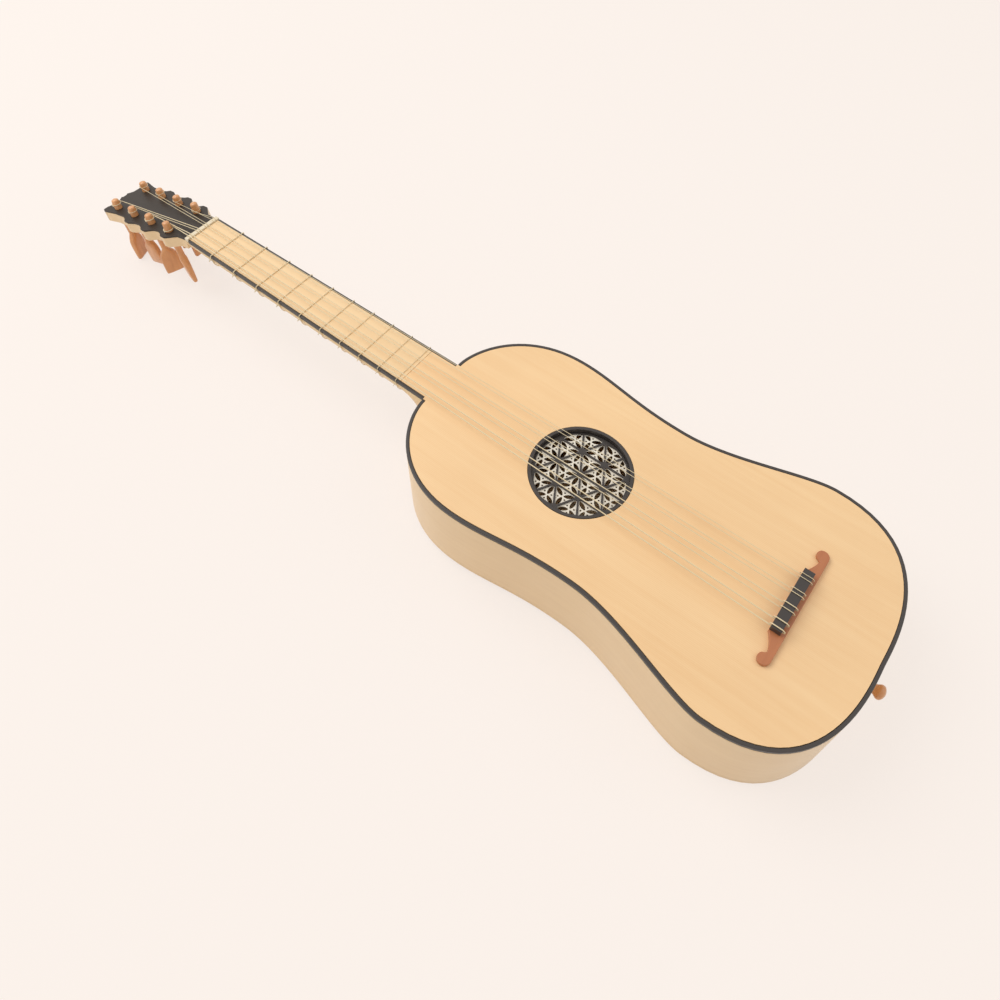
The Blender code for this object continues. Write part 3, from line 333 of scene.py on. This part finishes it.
def wear_group():
    """Handling and age: slow stains, fine dust and the worn roughness of an oiled surface."""
    group = bpy.data.node_groups.get("wear")
    if group:
        return group
    group, n, given, result = new_group(
        "wear",
        [
            ("Color", "NodeSocketColor", None),
            ("Stain", "NodeSocketFloat", 0.1),
            ("Roughness", "NodeSocketFloat", 0.4),
            ("Spread", "NodeSocketFloat", 0.12),
        ],
        [("Color", "NodeSocketColor"), ("Roughness", "NodeSocketFloat")],
    )
    place = n.add("ShaderNodeTexCoord").outputs["Object"]
    stains = n.spread(n.noise(place, 9.0, 4.0, 0.55), 0.35, 0.70)
    specks = n.spread(n.noise(place, 1400.0, 1.0, 0.5), 0.62, 0.75)
    amount = n.math("MULTIPLY", stains, given.outputs["Stain"])
    amount = n.math("ADD", amount, n.math("MULTIPLY", specks, n.math("MULTIPLY", given.outputs["Stain"], 0.7)))
    stained = n.mix(1.0, given.outputs["Color"], STAIN_TINT, "MULTIPLY")
    n.join(n.mix(amount, given.outputs["Color"], stained), result.inputs["Color"])
    smudge = n.math("SUBTRACT", n.noise(place, 46.0, 3.0, 0.6), 0.5)
    rough = n.math("ADD", given.outputs["Roughness"], n.math("MULTIPLY", smudge, given.outputs["Spread"]))
    n.join(rough, result.inputs["Roughness"])
    return group


def finish_of(name, light, dark, stretch, streaks, contrast, pores, roughness, bump, stain, coat=0.0, gloss=0.5):
    """A wood, bone or gut finish, from the grain and wear groups."""
    made = bpy.data.materials.get(name)
    if made:
        return made
    made = bpy.data.materials.new(name)
    made.use_nodes = True
    n = Nodes(made.node_tree)
    shader = made.node_tree.nodes["Principled BSDF"]
    n.set(shader, Metallic=0.0, IOR=1.5, Specular_IOR_Level=gloss, Coat_Weight=coat, Coat_Roughness=0.25)
    place = n.add("ShaderNodeTexCoord").outputs["Object"]
    along = n.add("ShaderNodeMapping", "grain direction")
    n.set(along, Vector=place, Scale=stretch)
    grain = n.add("ShaderNodeGroup", "grain", node_tree=grain_group())
    n.set(
        grain, Vector=along.outputs["Vector"], Light=(*light, 1.0), Dark=(*dark, 1.0), Streaks=streaks,
        Contrast=contrast, Pores=pores,
    )
    wear = n.add("ShaderNodeGroup", "wear", node_tree=wear_group())
    n.set(wear, Color=grain.outputs["Color"], Stain=stain, Roughness=roughness, Spread=0.14)
    relief = n.add("ShaderNodeBump")
    n.set(relief, Height=grain.outputs["Height"], Strength=0.35, Distance=bump)
    n.set(
        shader, Base_Color=wear.outputs["Color"], Roughness=wear.outputs["Roughness"], Normal=relief.outputs["Normal"]
    )
    made.diffuse_color = (*light, 1.0)
    return made


def darker(colour, share):
    return tuple(share * part for part in colour)


def spruce():
    """Quarter-sawn spruce: straight year lines along the guitar, over a faint silk."""
    made = bpy.data.materials.get("oiled_spruce")
    if made:
        return made
    c = colours()
    made = finish_of(
        "oiled_spruce", c.spruce, c.spruce_line, (1.0, 26.0, 26.0), streaks=9.0, contrast=0.34, pores=0.05,
        roughness=0.42, bump=0.00004, stain=0.10, coat=0.15,
    )
    n = Nodes(made.node_tree)
    shader = made.node_tree.nodes["Principled BSDF"]
    place = n.add("ShaderNodeTexCoord").outputs["Object"]
    drift = n.add("ShaderNodeMapping", "year line drift")
    n.set(drift, Vector=place, Scale=(0.35, 1.0, 1.0))
    lines = n.add("ShaderNodeTexWave", "year lines", wave_type="BANDS", bands_direction="Y", wave_profile="SAW")
    n.set(
        lines, Vector=drift.outputs["Vector"], Scale=0.314 / sizes().year_line, Distortion=1.6, Detail=2.0,
        Detail_Scale=0.06,
    )
    late = n.spread(lines.outputs["Fac"], 0.55, 1.0, 0.0, 0.30)
    worn = shader.inputs["Base Color"].links[0].from_socket
    n.join(n.mix(late, worn, (*c.spruce_line, 1.0)), shader.inputs["Base Color"])
    return made


def fingerboard_wood():
    c = colours()
    return finish_of(
        "waxed_fingerboard", c.fingerboard, c.spruce_line, (1.0, 22.0, 22.0), streaks=8.0, contrast=0.24, pores=0.06,
        roughness=0.40, bump=0.00002, stain=0.08, coat=0.1,
    )


def rib_wood():
    c = colours()
    return finish_of(
        "oiled_maple_sides", c.maple, c.maple_line, (1.6, 1.6, 26.0), streaks=9.0, contrast=0.30, pores=0.10,
        roughness=0.38, bump=0.00003, stain=0.10, coat=0.2,
    )


def neck_wood():
    c = colours()
    return finish_of(
        "oiled_maple", c.maple, c.maple_line, (1.0, 24.0, 24.0), streaks=9.0, contrast=0.30, pores=0.12,
        roughness=0.38, bump=0.00003, stain=0.12, coat=0.2,
    )


def raw_wood():
    c = colours()
    return finish_of(
        "unfinished_wood", c.maple, c.maple_line, (1.0, 16.0, 16.0), streaks=14.0, contrast=0.45, pores=0.25,
        roughness=0.65, bump=0.00006, stain=0.12,
    )


def ebony():
    c = colours()
    dark = darker(c.ebony, 0.45)
    return finish_of(
        "ebony", c.ebony, dark, (1.0, 20.0, 20.0), streaks=20.0, contrast=0.6, pores=0.4,
        roughness=0.40, bump=0.00003, stain=0.0, gloss=0.16,
    )


def veneer_wood():
    c = colours()
    dark = darker(c.veneer, 0.45)
    return finish_of(
        "head_veneer", c.veneer, dark, (1.0, 18.0, 18.0), streaks=14.0, contrast=0.6, pores=0.4,
        roughness=0.46, bump=0.00003, stain=0.0, gloss=0.35,
    )


def plum():
    c = colours()
    return finish_of(
        "plum_wood", c.plum, c.plum_line, (14.0, 1.2, 14.0), streaks=22.0, contrast=0.5, pores=0.4,
        roughness=0.36, bump=0.00004, stain=0.15, coat=0.2,
    )


def peg_wood():
    c = colours()
    return finish_of(
        "peg_wood", c.boxwood, c.boxwood_line, (16.0, 16.0, 2.0), streaks=24.0, contrast=0.55, pores=0.35,
        roughness=0.30, bump=0.00004, stain=0.15, coat=0.4,
    )


def bone():
    c = colours()
    dark = darker(c.bone, 0.72)
    return finish_of(
        "polished_bone", c.bone, dark, (20.0, 1.0, 20.0), streaks=60.0, contrast=0.25, pores=0.2,
        roughness=0.28, bump=0.00002, stain=0.18, coat=0.3,
    )


def rose_plate_stuff():
    c = colours()
    dark = darker(c.parchment, 0.70)
    return finish_of(
        "rose_plate", c.parchment, dark, (6.0, 6.0, 6.0), streaks=90.0, contrast=0.45, pores=0.3,
        roughness=0.60, bump=0.00004, stain=0.25,
    )


def gut():
    c = colours()
    dark = darker(c.gut, 0.66)
    return finish_of(
        "gut", c.gut, dark, (40.0, 40.0, 40.0), streaks=30.0, contrast=0.35, pores=0.2,
        roughness=0.34, bump=0.00001, stain=0.12, coat=0.2,
    )


def clean_mesh(node, flat_faces):
    """A copy of a CAD solid's mesh with its points joined, and its flat faces made whole where asked."""
    shape = bmesh.new()
    shape.from_mesh(frame["nodes"][node].data)
    bmesh.ops.remove_doubles(shape, verts=shape.verts, dist=SAME_POINT)
    if flat_faces:
        bmesh.ops.dissolve_limit(shape, angle_limit=FLAT_ANGLE, verts=shape.verts, edges=shape.edges)
    mesh = bpy.data.meshes.new(node)
    shape.to_mesh(mesh)
    shape.free()
    return mesh


def put(name, mesh, node, material, rounding=0.0, smooth=SHARP_ANGLE, subdivide=0):
    """A finished piece that stands for a CAD node and rides on its body."""
    mesh.materials.clear()
    mesh.materials.append(material)
    mesh.shade_smooth()
    mesh.set_sharp_from_angle(angle=math.radians(smooth))
    piece = bpy.data.objects.new(name, mesh)
    bpy.context.scene.collection.objects.link(piece)
    if rounding:
        bevel = piece.modifiers.new("rounding", "BEVEL")
        bevel.width = rounding
        bevel.segments = 2
        bevel.limit_method = "ANGLE"
        bevel.angle_limit = EDGE_ANGLE
        bevel.harden_normals = True
    if subdivide:
        surface = piece.modifiers.new("smoothing", "SUBSURF")
        surface.levels = subdivide
        surface.render_levels = subdivide
    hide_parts(node)
    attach(piece, BODY_OF[node])


def dress(node, material, rounding=0.0, smooth=SHARP_ANGLE, flat_faces=True, subdivide=0):
    """A CAD solid as it is, with rounded edges and its finish."""
    mesh = clean_mesh(node, flat_faces)
    put(node + "_piece", mesh, node, material, rounding, smooth, subdivide)


def bezier(p0, p1, p2, p3, steps):
    """Points on a cubic curve, without its first one."""
    found = []
    for i in range(1, steps + 1):
        t = i / steps
        s = 1 - t
        found.append(p0 * s**3 + p1 * (3 * s * s * t) + p2 * (3 * s * t * t) + p3 * t**3)
    return found


def half_outline(steps):
    """Outer edge of the treble half of the body, from the neck to the middle of the tail."""
    start = Vector((BODY_START, SHOULDER_HALF))
    upper = Vector((BODY_START + UPPER_BOUT[0], UPPER_BOUT[1]))
    waist = Vector((BODY_START + WAIST[0], WAIST[1]))
    lower = Vector((BODY_START + LOWER_BOUT[0], LOWER_BOUT[1]))
    tail = Vector((BODY_START + BODY_LENGTH, 0.0))
    x = Vector((1, 0))
    y = Vector((0, 1))
    points = [start]
    points += bezier(start, start + y * SHOULDER_REACH, upper - x * UPPER_REACH[0], upper, steps)
    points += bezier(upper, upper + x * UPPER_REACH[1], waist - x * WAIST_REACH[0], waist, steps)
    points += bezier(waist, waist + x * WAIST_REACH[1], lower - x * LOWER_REACH[0], lower, steps)
    points += bezier(lower, lower + x * LOWER_REACH[1], tail + y * TAIL_REACH, tail, steps)
    return points


def moved_in(path, distance):
    """A half outline moved inwards, with its ends kept square."""
    moved = [Vector((path[0].x + distance, path[0].y))]
    for before, point, after in zip(path, path[1:], path[2:]):
        first = (point - before).normalized()
        second = (after - point).normalized()
        n1 = Vector((first.y, -first.x))
        middle = (n1 + Vector((second.y, -second.x))).normalized()
        moved.append(point + middle * (distance / middle.dot(n1)))
    moved.append(Vector((path[-1].x - distance, path[-1].y)))
    return moved


def mesh_of(name, shape):
    """A mesh from a closed shape drawn in the instrument's frame, put where the guitar lies."""
    bmesh.ops.recalc_face_normals(shape, faces=shape.faces)
    bmesh.ops.transform(shape, matrix=PLACED, verts=shape.verts)
    mesh = bpy.data.meshes.new(name)
    shape.to_mesh(mesh)
    shape.free()
    return mesh


def swept(name, path, profile, sides):
    """A strip swept along a half outline on one side, or round both by way of the tail."""
    rows = [moved_in(path, depth) for depth, z in profile]
    order = [(i, sides[0]) for i in range(len(path))]
    if len(sides) > 1:
        order += [(i, sides[1]) for i in range(len(path) - 2, -1, -1)]
    shape = bmesh.new()
    rings = []
    for i, side in order:
        ring = [shape.verts.new((row[i].x, side * row[i].y, z)) for row, (depth, z) in zip(rows, profile)]
        rings.append(ring)
    for low, high in zip(rings, rings[1:]):
        for j in range(len(low)):
            shape.faces.new((low[j - 1], low[j], high[j], high[j - 1]))
    shape.faces.new(rings[0])
    shape.faces.new(rings[-1])
    return mesh_of(name, shape)


def flat_piece(name, outer, holes, top, bottom):
    """A flat plate with through holes, from outlines of (x, y)."""
    shape = bmesh.new()
    for outline in [outer] + holes:
        ring = [shape.verts.new((x, y, top)) for x, y in outline]
        for i in range(len(ring)):
            shape.edges.new((ring[i - 1], ring[i]))
    bmesh.ops.triangle_fill(shape, use_beauty=True, edges=shape.edges)
    grown = bmesh.ops.extrude_face_region(shape, geom=shape.faces, use_keep_orig=True)
    lower = [item for item in grown["geom"] if isinstance(item, bmesh.types.BMVert)]
    bmesh.ops.translate(shape, verts=lower, vec=(0, 0, bottom - top))
    bmesh.ops.recalc_face_normals(shape, faces=shape.faces)
    bmesh.ops.dissolve_limit(shape, angle_limit=PLATE_FLAT_ANGLE, verts=shape.verts, edges=shape.edges)
    return mesh_of(name, shape)


def circle(x, y, radius, sides):
    step = 2 * math.pi / sides
    return [(x + radius * math.cos(i * step), y + radius * math.sin(i * step)) for i in range(sides)]


def rose_triangles():
    """The corners of the triangles between the bars of the rose."""
    centre = Vector((ROSE_CENTRE, 0))
    step = Vector((ROSE_SPACING, 0))
    lean = Vector((ROSE_SPACING / 2, ROSE_SPACING * math.sqrt(3) / 2))
    found = []
    for i in range(-ROSE_REACH[0], ROSE_REACH[0] + 1):
        for j in range(-ROSE_REACH[1], ROSE_REACH[1] + 1):
            corner = centre + step * i + lean * j
            found.append((corner, corner + step, corner + lean))
            found.append((corner + step, corner + step + lean, corner + lean))
    return found


def within_rim(points):
    """A hole of the rose with the part beyond the rim pressed back onto it, or nothing if little is left."""
    centre = Vector((ROSE_CENTRE, 0))
    middle = sum(points, Vector((0, 0))) / len(points)
    if (middle - centre).length > PLATE_RIM - RIM_MARGIN:
        return None
    kept = []
    for point in points:
        away = point - centre
        spot = centre + away * min(1, PLATE_RIM / max(away.length, PLATE_RIM / 2))
        if not kept or (spot - kept[-1]).length > LEAST_EDGE:
            kept.append(spot)
    return [(p.x, p.y) for p in kept]


def plate_holes():
    """Three petals and three dots in each triangle of the rose."""
    found = []
    for triangle in rose_triangles():
        middle = sum(triangle, Vector((0, 0))) / 3
        for corner in triangle:
            along = (corner - middle).normalized()
            across = Vector((-along.y, along.x))
            petal = []
            for i in range(PETAL_POINTS):
                turn = 2 * math.pi * i / PETAL_POINTS
                width = PETAL_HALF_WIDTH * math.sin(turn) * abs(math.sin(turn)) ** PETAL_POINTEDNESS
                petal.append(middle + along * (PETAL_MIDDLE - PETAL_HALF_LENGTH * math.cos(turn)) + across * width)
            dot = middle - along * DOT_PLACE
            found.append(within_rim(petal))
            found.append(within_rim([Vector(spot) for spot in circle(dot.x, dot.y, DOT_RADIUS, DOT_POINTS)]))
    return [hole for hole in found if hole and len(hole) >= LEAST_POINTS]


def peg_sections():
    """Half width, half thickness, squareness and height of a peg's sections, from its tip to its grip's end."""
    collar = -HEAD_THICKNESS - GAP
    grip = GRIP_LENGTH - PEG_REACH
    found = []
    for share, down in TIP_DOME:
        found.append((share * PEG_TIP_RADIUS, share * PEG_TIP_RADIUS, 0, PEG_TIP_HEIGHT - down))
    for up in (PEG_TIP_HEIGHT - TIP_DOME_DEPTH, -HEAD_THICKNESS):
        radius = PEG_TIP_RADIUS + PEG_TAPER * (PEG_TIP_HEIGHT - up)
        found.append((radius, radius, 0, up))
    for share, down in COLLAR_SHAPE:
        found.append((share * PEG_COLLAR_RADIUS, share * PEG_COLLAR_RADIUS, 0, collar - down))
    found.append((PEG_SHANK_RADIUS, PEG_SHANK_RADIUS, 0, grip))
    for share, wide, thick in GRIP_SHAPE:
        square = min(share / GRIP_SQUARE_FROM, 1)
        found.append((GRIP_HALF_WIDTH * wide, GRIP_HALF_THICKNESS * thick, square, grip - GRIP_LENGTH * share))
    return found


def peg_mesh(number):
    """One peg, set in the head from behind, with a flat paddle for its grip."""
    side, rank = (1, number) if number < 4 else (-1, 7 - number)
    turn = Matrix.Rotation(math.radians(PEG_TURNS[number]), 4, "Z")
    tilt = Matrix.Rotation(-HEAD_TILT, 4, "Y") @ Matrix.Rotation(math.pi, 4, "Z")
    place = tilt @ Matrix.Translation((PEG_STATIONS[rank], -side * PEG_OFFSET, 0)) @ turn
    shape = bmesh.new()
    rings = []
    for wide, thick, square, up in peg_sections():
        power = 1 - GRIP_SQUARENESS * square
        ring = []
        for i in range(PEG_POINTS):
            angle = 2 * math.pi * i / PEG_POINTS
            x = math.copysign(abs(math.cos(angle)) ** power, math.cos(angle))
            y = math.copysign(abs(math.sin(angle)) ** power, math.sin(angle))
            ring.append(shape.verts.new(place @ Vector((x * wide, y * thick, up))))
        rings.append(ring)
    for low, high in zip(rings, rings[1:]):
        for j in range(len(low)):
            shape.faces.new((low[j - 1], low[j], high[j], high[j - 1]))
    shape.faces.new(rings[0])
    shape.faces.new(rings[-1])
    return mesh_of("peg", shape)


def neck_half_width(x):
    growth = (NECK_WIDTH_AT_BODY - NECK_WIDTH_AT_NUT) / BODY_START
    return (NECK_WIDTH_AT_NUT + growth * max(x, 0)) / 2


class PieceOperator(bpy.types.Operator):
    """Base of the operators that make pieces."""

    bl_options = {"REGISTER", "UNDO"}


class GUITAR_OT_soundboard(PieceOperator):
    """Makes the spruce soundboard with its tongue and rose hole"""

    bl_idname = "guitar.soundboard"
    bl_label = "Soundboard"

    def execute(self, context):
        edge = moved_in(half_outline(sizes().outline_steps), BINDING_WIDTH + GAP)
        strip = STRIP_WIDTH + GAP
        half = [
            (TONGUE_START, neck_half_width(TONGUE_START) - strip),
            (BODY_START, neck_half_width(BODY_START) - strip),
            (BODY_START, SHOULDER_HALF - GAP),
            (edge[0].x, SHOULDER_HALF - GAP),
        ]
        half += [(p.x, p.y) for p in edge[1:]]
        outer = half + [(x, -y) for x, y in reversed(half[:-1])]
        hole = circle(ROSE_CENTRE, 0, ROSE_HOLE, ROSE_HOLE_POINTS)
        mesh = flat_piece("soundboard", outer, [hole], 0, -FACE_THICKNESS)
        put("soundboard_piece", mesh, "soundboard", spruce(), PLATE_EDGE_ROUND)
        return {"FINISHED"}


class GUITAR_OT_body(PieceOperator):
    """Makes the sides, the back and the dark binding"""

    bl_idname = "guitar.body"
    bl_label = "Sides, back and binding"

    def execute(self, context):
        outline = half_outline(sizes().outline_steps)
        split = outline[:-1] + [Vector((outline[-1].x, GAP / 2))]
        low = -BODY_DEPTH + BACK_THICKNESS + GAP
        high = -BINDING_HEIGHT - GAP
        rib = [(0, high), (RIB_THICKNESS, high), (RIB_THICKNESS, low), (0, low)]
        for node, side in (("rib_treble", 1), ("rib_bass", -1)):
            mesh = swept(node, split, rib, (side,))
            put(node + "_piece", mesh, node, rib_wood(), SMALL_ROUND)
        band = [(0, 0), (BINDING_WIDTH, 0), (BINDING_WIDTH, -BINDING_HEIGHT), (0, -BINDING_HEIGHT)]
        mesh = swept("soundboard_binding", outline, band, (1, -1))
        put("soundboard_binding_piece", mesh, "soundboard_binding", ebony(), sizes().binding_round)
        outer = [(p.x, p.y) for p in outline] + [(p.x, -p.y) for p in reversed(outline[:-1])]
        mesh = flat_piece("back", outer, [], -BODY_DEPTH + BACK_THICKNESS, -BODY_DEPTH)
        put("back_piece", mesh, "back", neck_wood(), sizes().edge_round)
        return {"FINISHED"}


class GUITAR_OT_inside(PieceOperator):
    """Finishes the blocks, linings and bars inside the body"""

    bl_idname = "guitar.inside"
    bl_label = "Inside of the body"

    def execute(self, context):
        for node in ("neck_block", "tail_block", "face_linings", "back_linings"):
            dress(node, raw_wood(), BLOCK_ROUND)
        for place in ("upper", "lower"):
            for plate in ("face", "back"):
                dress("%s_brace_%s" % (plate, place), raw_wood(), BRACE_ROUND)
        return {"FINISHED"}


class GUITAR_OT_neck(PieceOperator):
    """Finishes the neck, its fingerboard and the dark strips along its edges"""

    bl_idname = "guitar.neck"
    bl_label = "Neck and fingerboard"

    def execute(self, context):
        dress("neck", neck_wood(), smooth=NECK_ANGLE)
        dress("fingerboard", fingerboard_wood(), PLATE_EDGE_ROUND)
        for side in ("bass", "treble"):
            dress("edge_strip_" + side, ebony(), sizes().edge_round)
        dress("nut", bone(), sizes().edge_round)
        return {"FINISHED"}


class GUITAR_OT_head(PieceOperator):
    """Finishes the peghead and the dark veneer on its face"""

    bl_idname = "guitar.head"
    bl_label = "Peghead"

    def execute(self, context):
        dress("peghead", neck_wood(), sizes().edge_round)
        dress("peghead_veneer", veneer_wood(), VENEER_ROUND)
        return {"FINISHED"}


class GUITAR_OT_pegs(PieceOperator):
    """Finishes the eight pegs and the string wound on each"""

    bl_idname = "guitar.pegs"
    bl_label = "Pegs"

    def execute(self, context):
        for number, course in enumerate(COURSES):
            peg = "peg_" + course
            put(peg + "_piece", peg_mesh(number), peg, peg_wood(), smooth=PEG_ANGLE)
            dress("winding_" + course, gut(), smooth=CORD_ANGLE, flat_faces=False, subdivide=1)
        return {"FINISHED"}


class GUITAR_OT_strings(PieceOperator):
    """Finishes the eight strings and the ten tied frets"""

    bl_idname = "guitar.strings"
    bl_label = "Strings and frets"

    def execute(self, context):
        for course in COURSES:
            dress("string_" + course, gut(), smooth=CORD_ANGLE, flat_faces=False)
        for number in FRETS:
            dress("fret_%d" % number, gut(), smooth=CORD_ANGLE, flat_faces=False)
        return {"FINISHED"}


class GUITAR_OT_rose(PieceOperator):
    """Finishes the ring, the star lattice and the pierced plate of the rose"""

    bl_idname = "guitar.rose"
    bl_label = "Rose"

    def execute(self, context):
        dress("rose_ring", ebony(), BLOCK_ROUND, TURNED_ANGLE)
        dress("rose_lattice", ebony(), SMALL_ROUND)
        disc = circle(ROSE_CENTRE, 0, PLATE_RADIUS, PLATE_POINTS)
        plate = flat_piece("rose_plate", disc, plate_holes(), PLATE_TOP, PLATE_TOP - PLATE_THICKNESS)
        put("rose_plate_piece", plate, "rose_plate", rose_plate_stuff())
        return {"FINISHED"}


class GUITAR_OT_bridge(PieceOperator):
    """Finishes the bridge's base and the block that the strings are tied to"""

    bl_idname = "guitar.bridge"
    bl_label = "Bridge"

    def execute(self, context):
        dress("bridge", plum(), sizes().bridge_round, TURNED_ANGLE)
        dress("tie_block", ebony(), sizes().edge_round)
        return {"FINISHED"}


class GUITAR_OT_tail_button(PieceOperator):
    """Finishes the turned button at the tail"""

    bl_idname = "guitar.tail_button"
    bl_label = "Tail button"

    def execute(self, context):
        dress("tail_button", peg_wood(), smooth=BUTTON_ANGLE, flat_faces=False, subdivide=2)
        return {"FINISHED"}


def lamp(name, place, size, power):
    """A soft round lamp that shines on the guitar's middle."""
    light = bpy.data.lights.new(name, "AREA")
    light.shape = "DISK"
    light.size = size
    light.energy = power
    item = bpy.data.objects.new(name, light)
    item.location = place
    item.rotation_euler = (Vector(LIT_POINT) - Vector(place)).to_track_quat("-Z", "Y").to_euler()
    bpy.context.scene.collection.objects.link(item)


class GUITAR_OT_stage(PieceOperator):
    """Makes the pale floor, the soft light and the camera"""

    bl_idname = "guitar.stage"
    bl_label = "Stage"

    def execute(self, context):
        scene = context.scene
        stage = scene.guitar_stage
        half = stage.floor_size / 2
        mesh = bpy.data.meshes.new("floor")
        corners = [(-half, -half, 0), (half, -half, 0), (half, half, 0), (-half, half, 0)]
        mesh.from_pydata(corners, [], [(0, 1, 2, 3)])
        material = bpy.data.materials.new("pale_floor")
        material.use_nodes = True
        n = Nodes(material.node_tree)
        shader = material.node_tree.nodes["Principled BSDF"]
        place = n.add("ShaderNodeTexCoord").outputs["Object"]
        mottle = n.spread(n.noise(place, 2.0, 2.0, 0.5), 0.3, 0.7, 0.0, 0.02)
        tone = n.mix(mottle, (*stage.floor, 1.0), FLOOR_MOTTLE)
        n.set(shader, Base_Color=tone, Roughness=0.9, Specular_IOR_Level=0.1)
        glow = n.add("ShaderNodeEmission", "bright backdrop")
        n.set(glow, Color=(*stage.backdrop, 1.0), Strength=1.0)
        rays = n.add("ShaderNodeLightPath")
        seen = n.math("MAXIMUM", rays.outputs["Is Camera Ray"], rays.outputs["Is Glossy Ray"])
        blend = n.add("ShaderNodeMixShader")
        n.set(blend, Fac=n.math("MULTIPLY", seen, stage.glow))
        n.join(shader.outputs["BSDF"], blend.inputs[1])
        n.join(glow.outputs["Emission"], blend.inputs[2])
        n.join(blend.outputs["Shader"], material.node_tree.nodes["Material Output"].inputs["Surface"])
        mesh.materials.append(material)
        floor = bpy.data.objects.new("floor", mesh)
        floor.location.z = -FLOOR_DROP
        scene.collection.objects.link(floor)
        world = bpy.data.worlds.new("studio")
        scene.world = world
        world.use_nodes = True
        w = Nodes(world.node_tree)
        background = world.node_tree.nodes["Background"]
        path = w.add("ShaderNodeLightPath")
        seen = w.math("MAXIMUM", path.outputs["Is Camera Ray"], path.outputs["Is Glossy Ray"])
        seen = w.math("MAXIMUM", seen, path.outputs["Is Transmission Ray"])
        background.inputs["Color"].default_value = STUDIO_AIR
        w.set(background, Strength=w.spread(seen, 0.0, 1.0, stage.ambient, 1.0))
        lamp("key_lamp", KEY_PLACE, KEY_SIZE, stage.key)
        lamp("fill_lamp", FILL_PLACE, FILL_SIZE, stage.fill)
        camera = bpy.data.cameras.new("camera")
        camera.lens = stage.focal_length
        camera.sensor_width = SENSOR_WIDTH
        camera.shift_x = stage.side_shift
        camera.shift_y = stage.shift
        camera.clip_start = 0.01
        item = bpy.data.objects.new("camera", camera)
        item.location = CAMERA_PLACE
        item.rotation_euler = Euler([math.radians(angle) for angle in CAMERA_TURN], "XYZ")
        scene.collection.objects.link(item)
        scene.camera = item
        scene.view_settings.view_transform = "Standard"
        return {"FINISHED"}


class GUITAR_PT_panel(bpy.types.Panel):
    """The guitar's pieces, colours and sizes"""

    bl_idname = "GUITAR_PT_panel"
    bl_label = "Renaissance guitar"
    bl_space_type = "VIEW_3D"
    bl_region_type = "UI"
    bl_category = "Guitar"

    def draw(self, context):
        for operator in OPERATORS:
            self.layout.operator(operator.bl_idname)
        for group in (context.scene.guitar_colours, context.scene.guitar_sizes, context.scene.guitar_stage):
            box = self.layout.box()
            for name in group.__annotations__:
                box.prop(group, name)


OPERATORS = (
    GUITAR_OT_soundboard,
    GUITAR_OT_body,
    GUITAR_OT_inside,
    GUITAR_OT_neck,
    GUITAR_OT_head,
    GUITAR_OT_pegs,
    GUITAR_OT_strings,
    GUITAR_OT_rose,
    GUITAR_OT_bridge,
    GUITAR_OT_tail_button,
    GUITAR_OT_stage,
)
CLASSES = (GuitarColours, GuitarSizes, StageSettings) + OPERATORS + (GUITAR_PT_panel,)


def register():
    for item in CLASSES:
        bpy.utils.register_class(item)
    bpy.types.Scene.guitar_colours = PointerProperty(type=GuitarColours)
    bpy.types.Scene.guitar_sizes = PointerProperty(type=GuitarSizes)
    bpy.types.Scene.guitar_stage = PointerProperty(type=StageSettings)


def unregister():
    del bpy.types.Scene.guitar_stage
    del bpy.types.Scene.guitar_sizes
    del bpy.types.Scene.guitar_colours
    for item in reversed(CLASSES):
        bpy.utils.unregister_class(item)


def main():
    register()
    bpy.ops.guitar.stage()
    bpy.ops.guitar.soundboard()
    bpy.ops.guitar.body()
    bpy.ops.guitar.inside()
    bpy.ops.guitar.neck()
    bpy.ops.guitar.head()
    bpy.ops.guitar.pegs()
    bpy.ops.guitar.strings()
    bpy.ops.guitar.rose()
    bpy.ops.guitar.bridge()
    bpy.ops.guitar.tail_button()


if __name__ == "__main__":
    main()
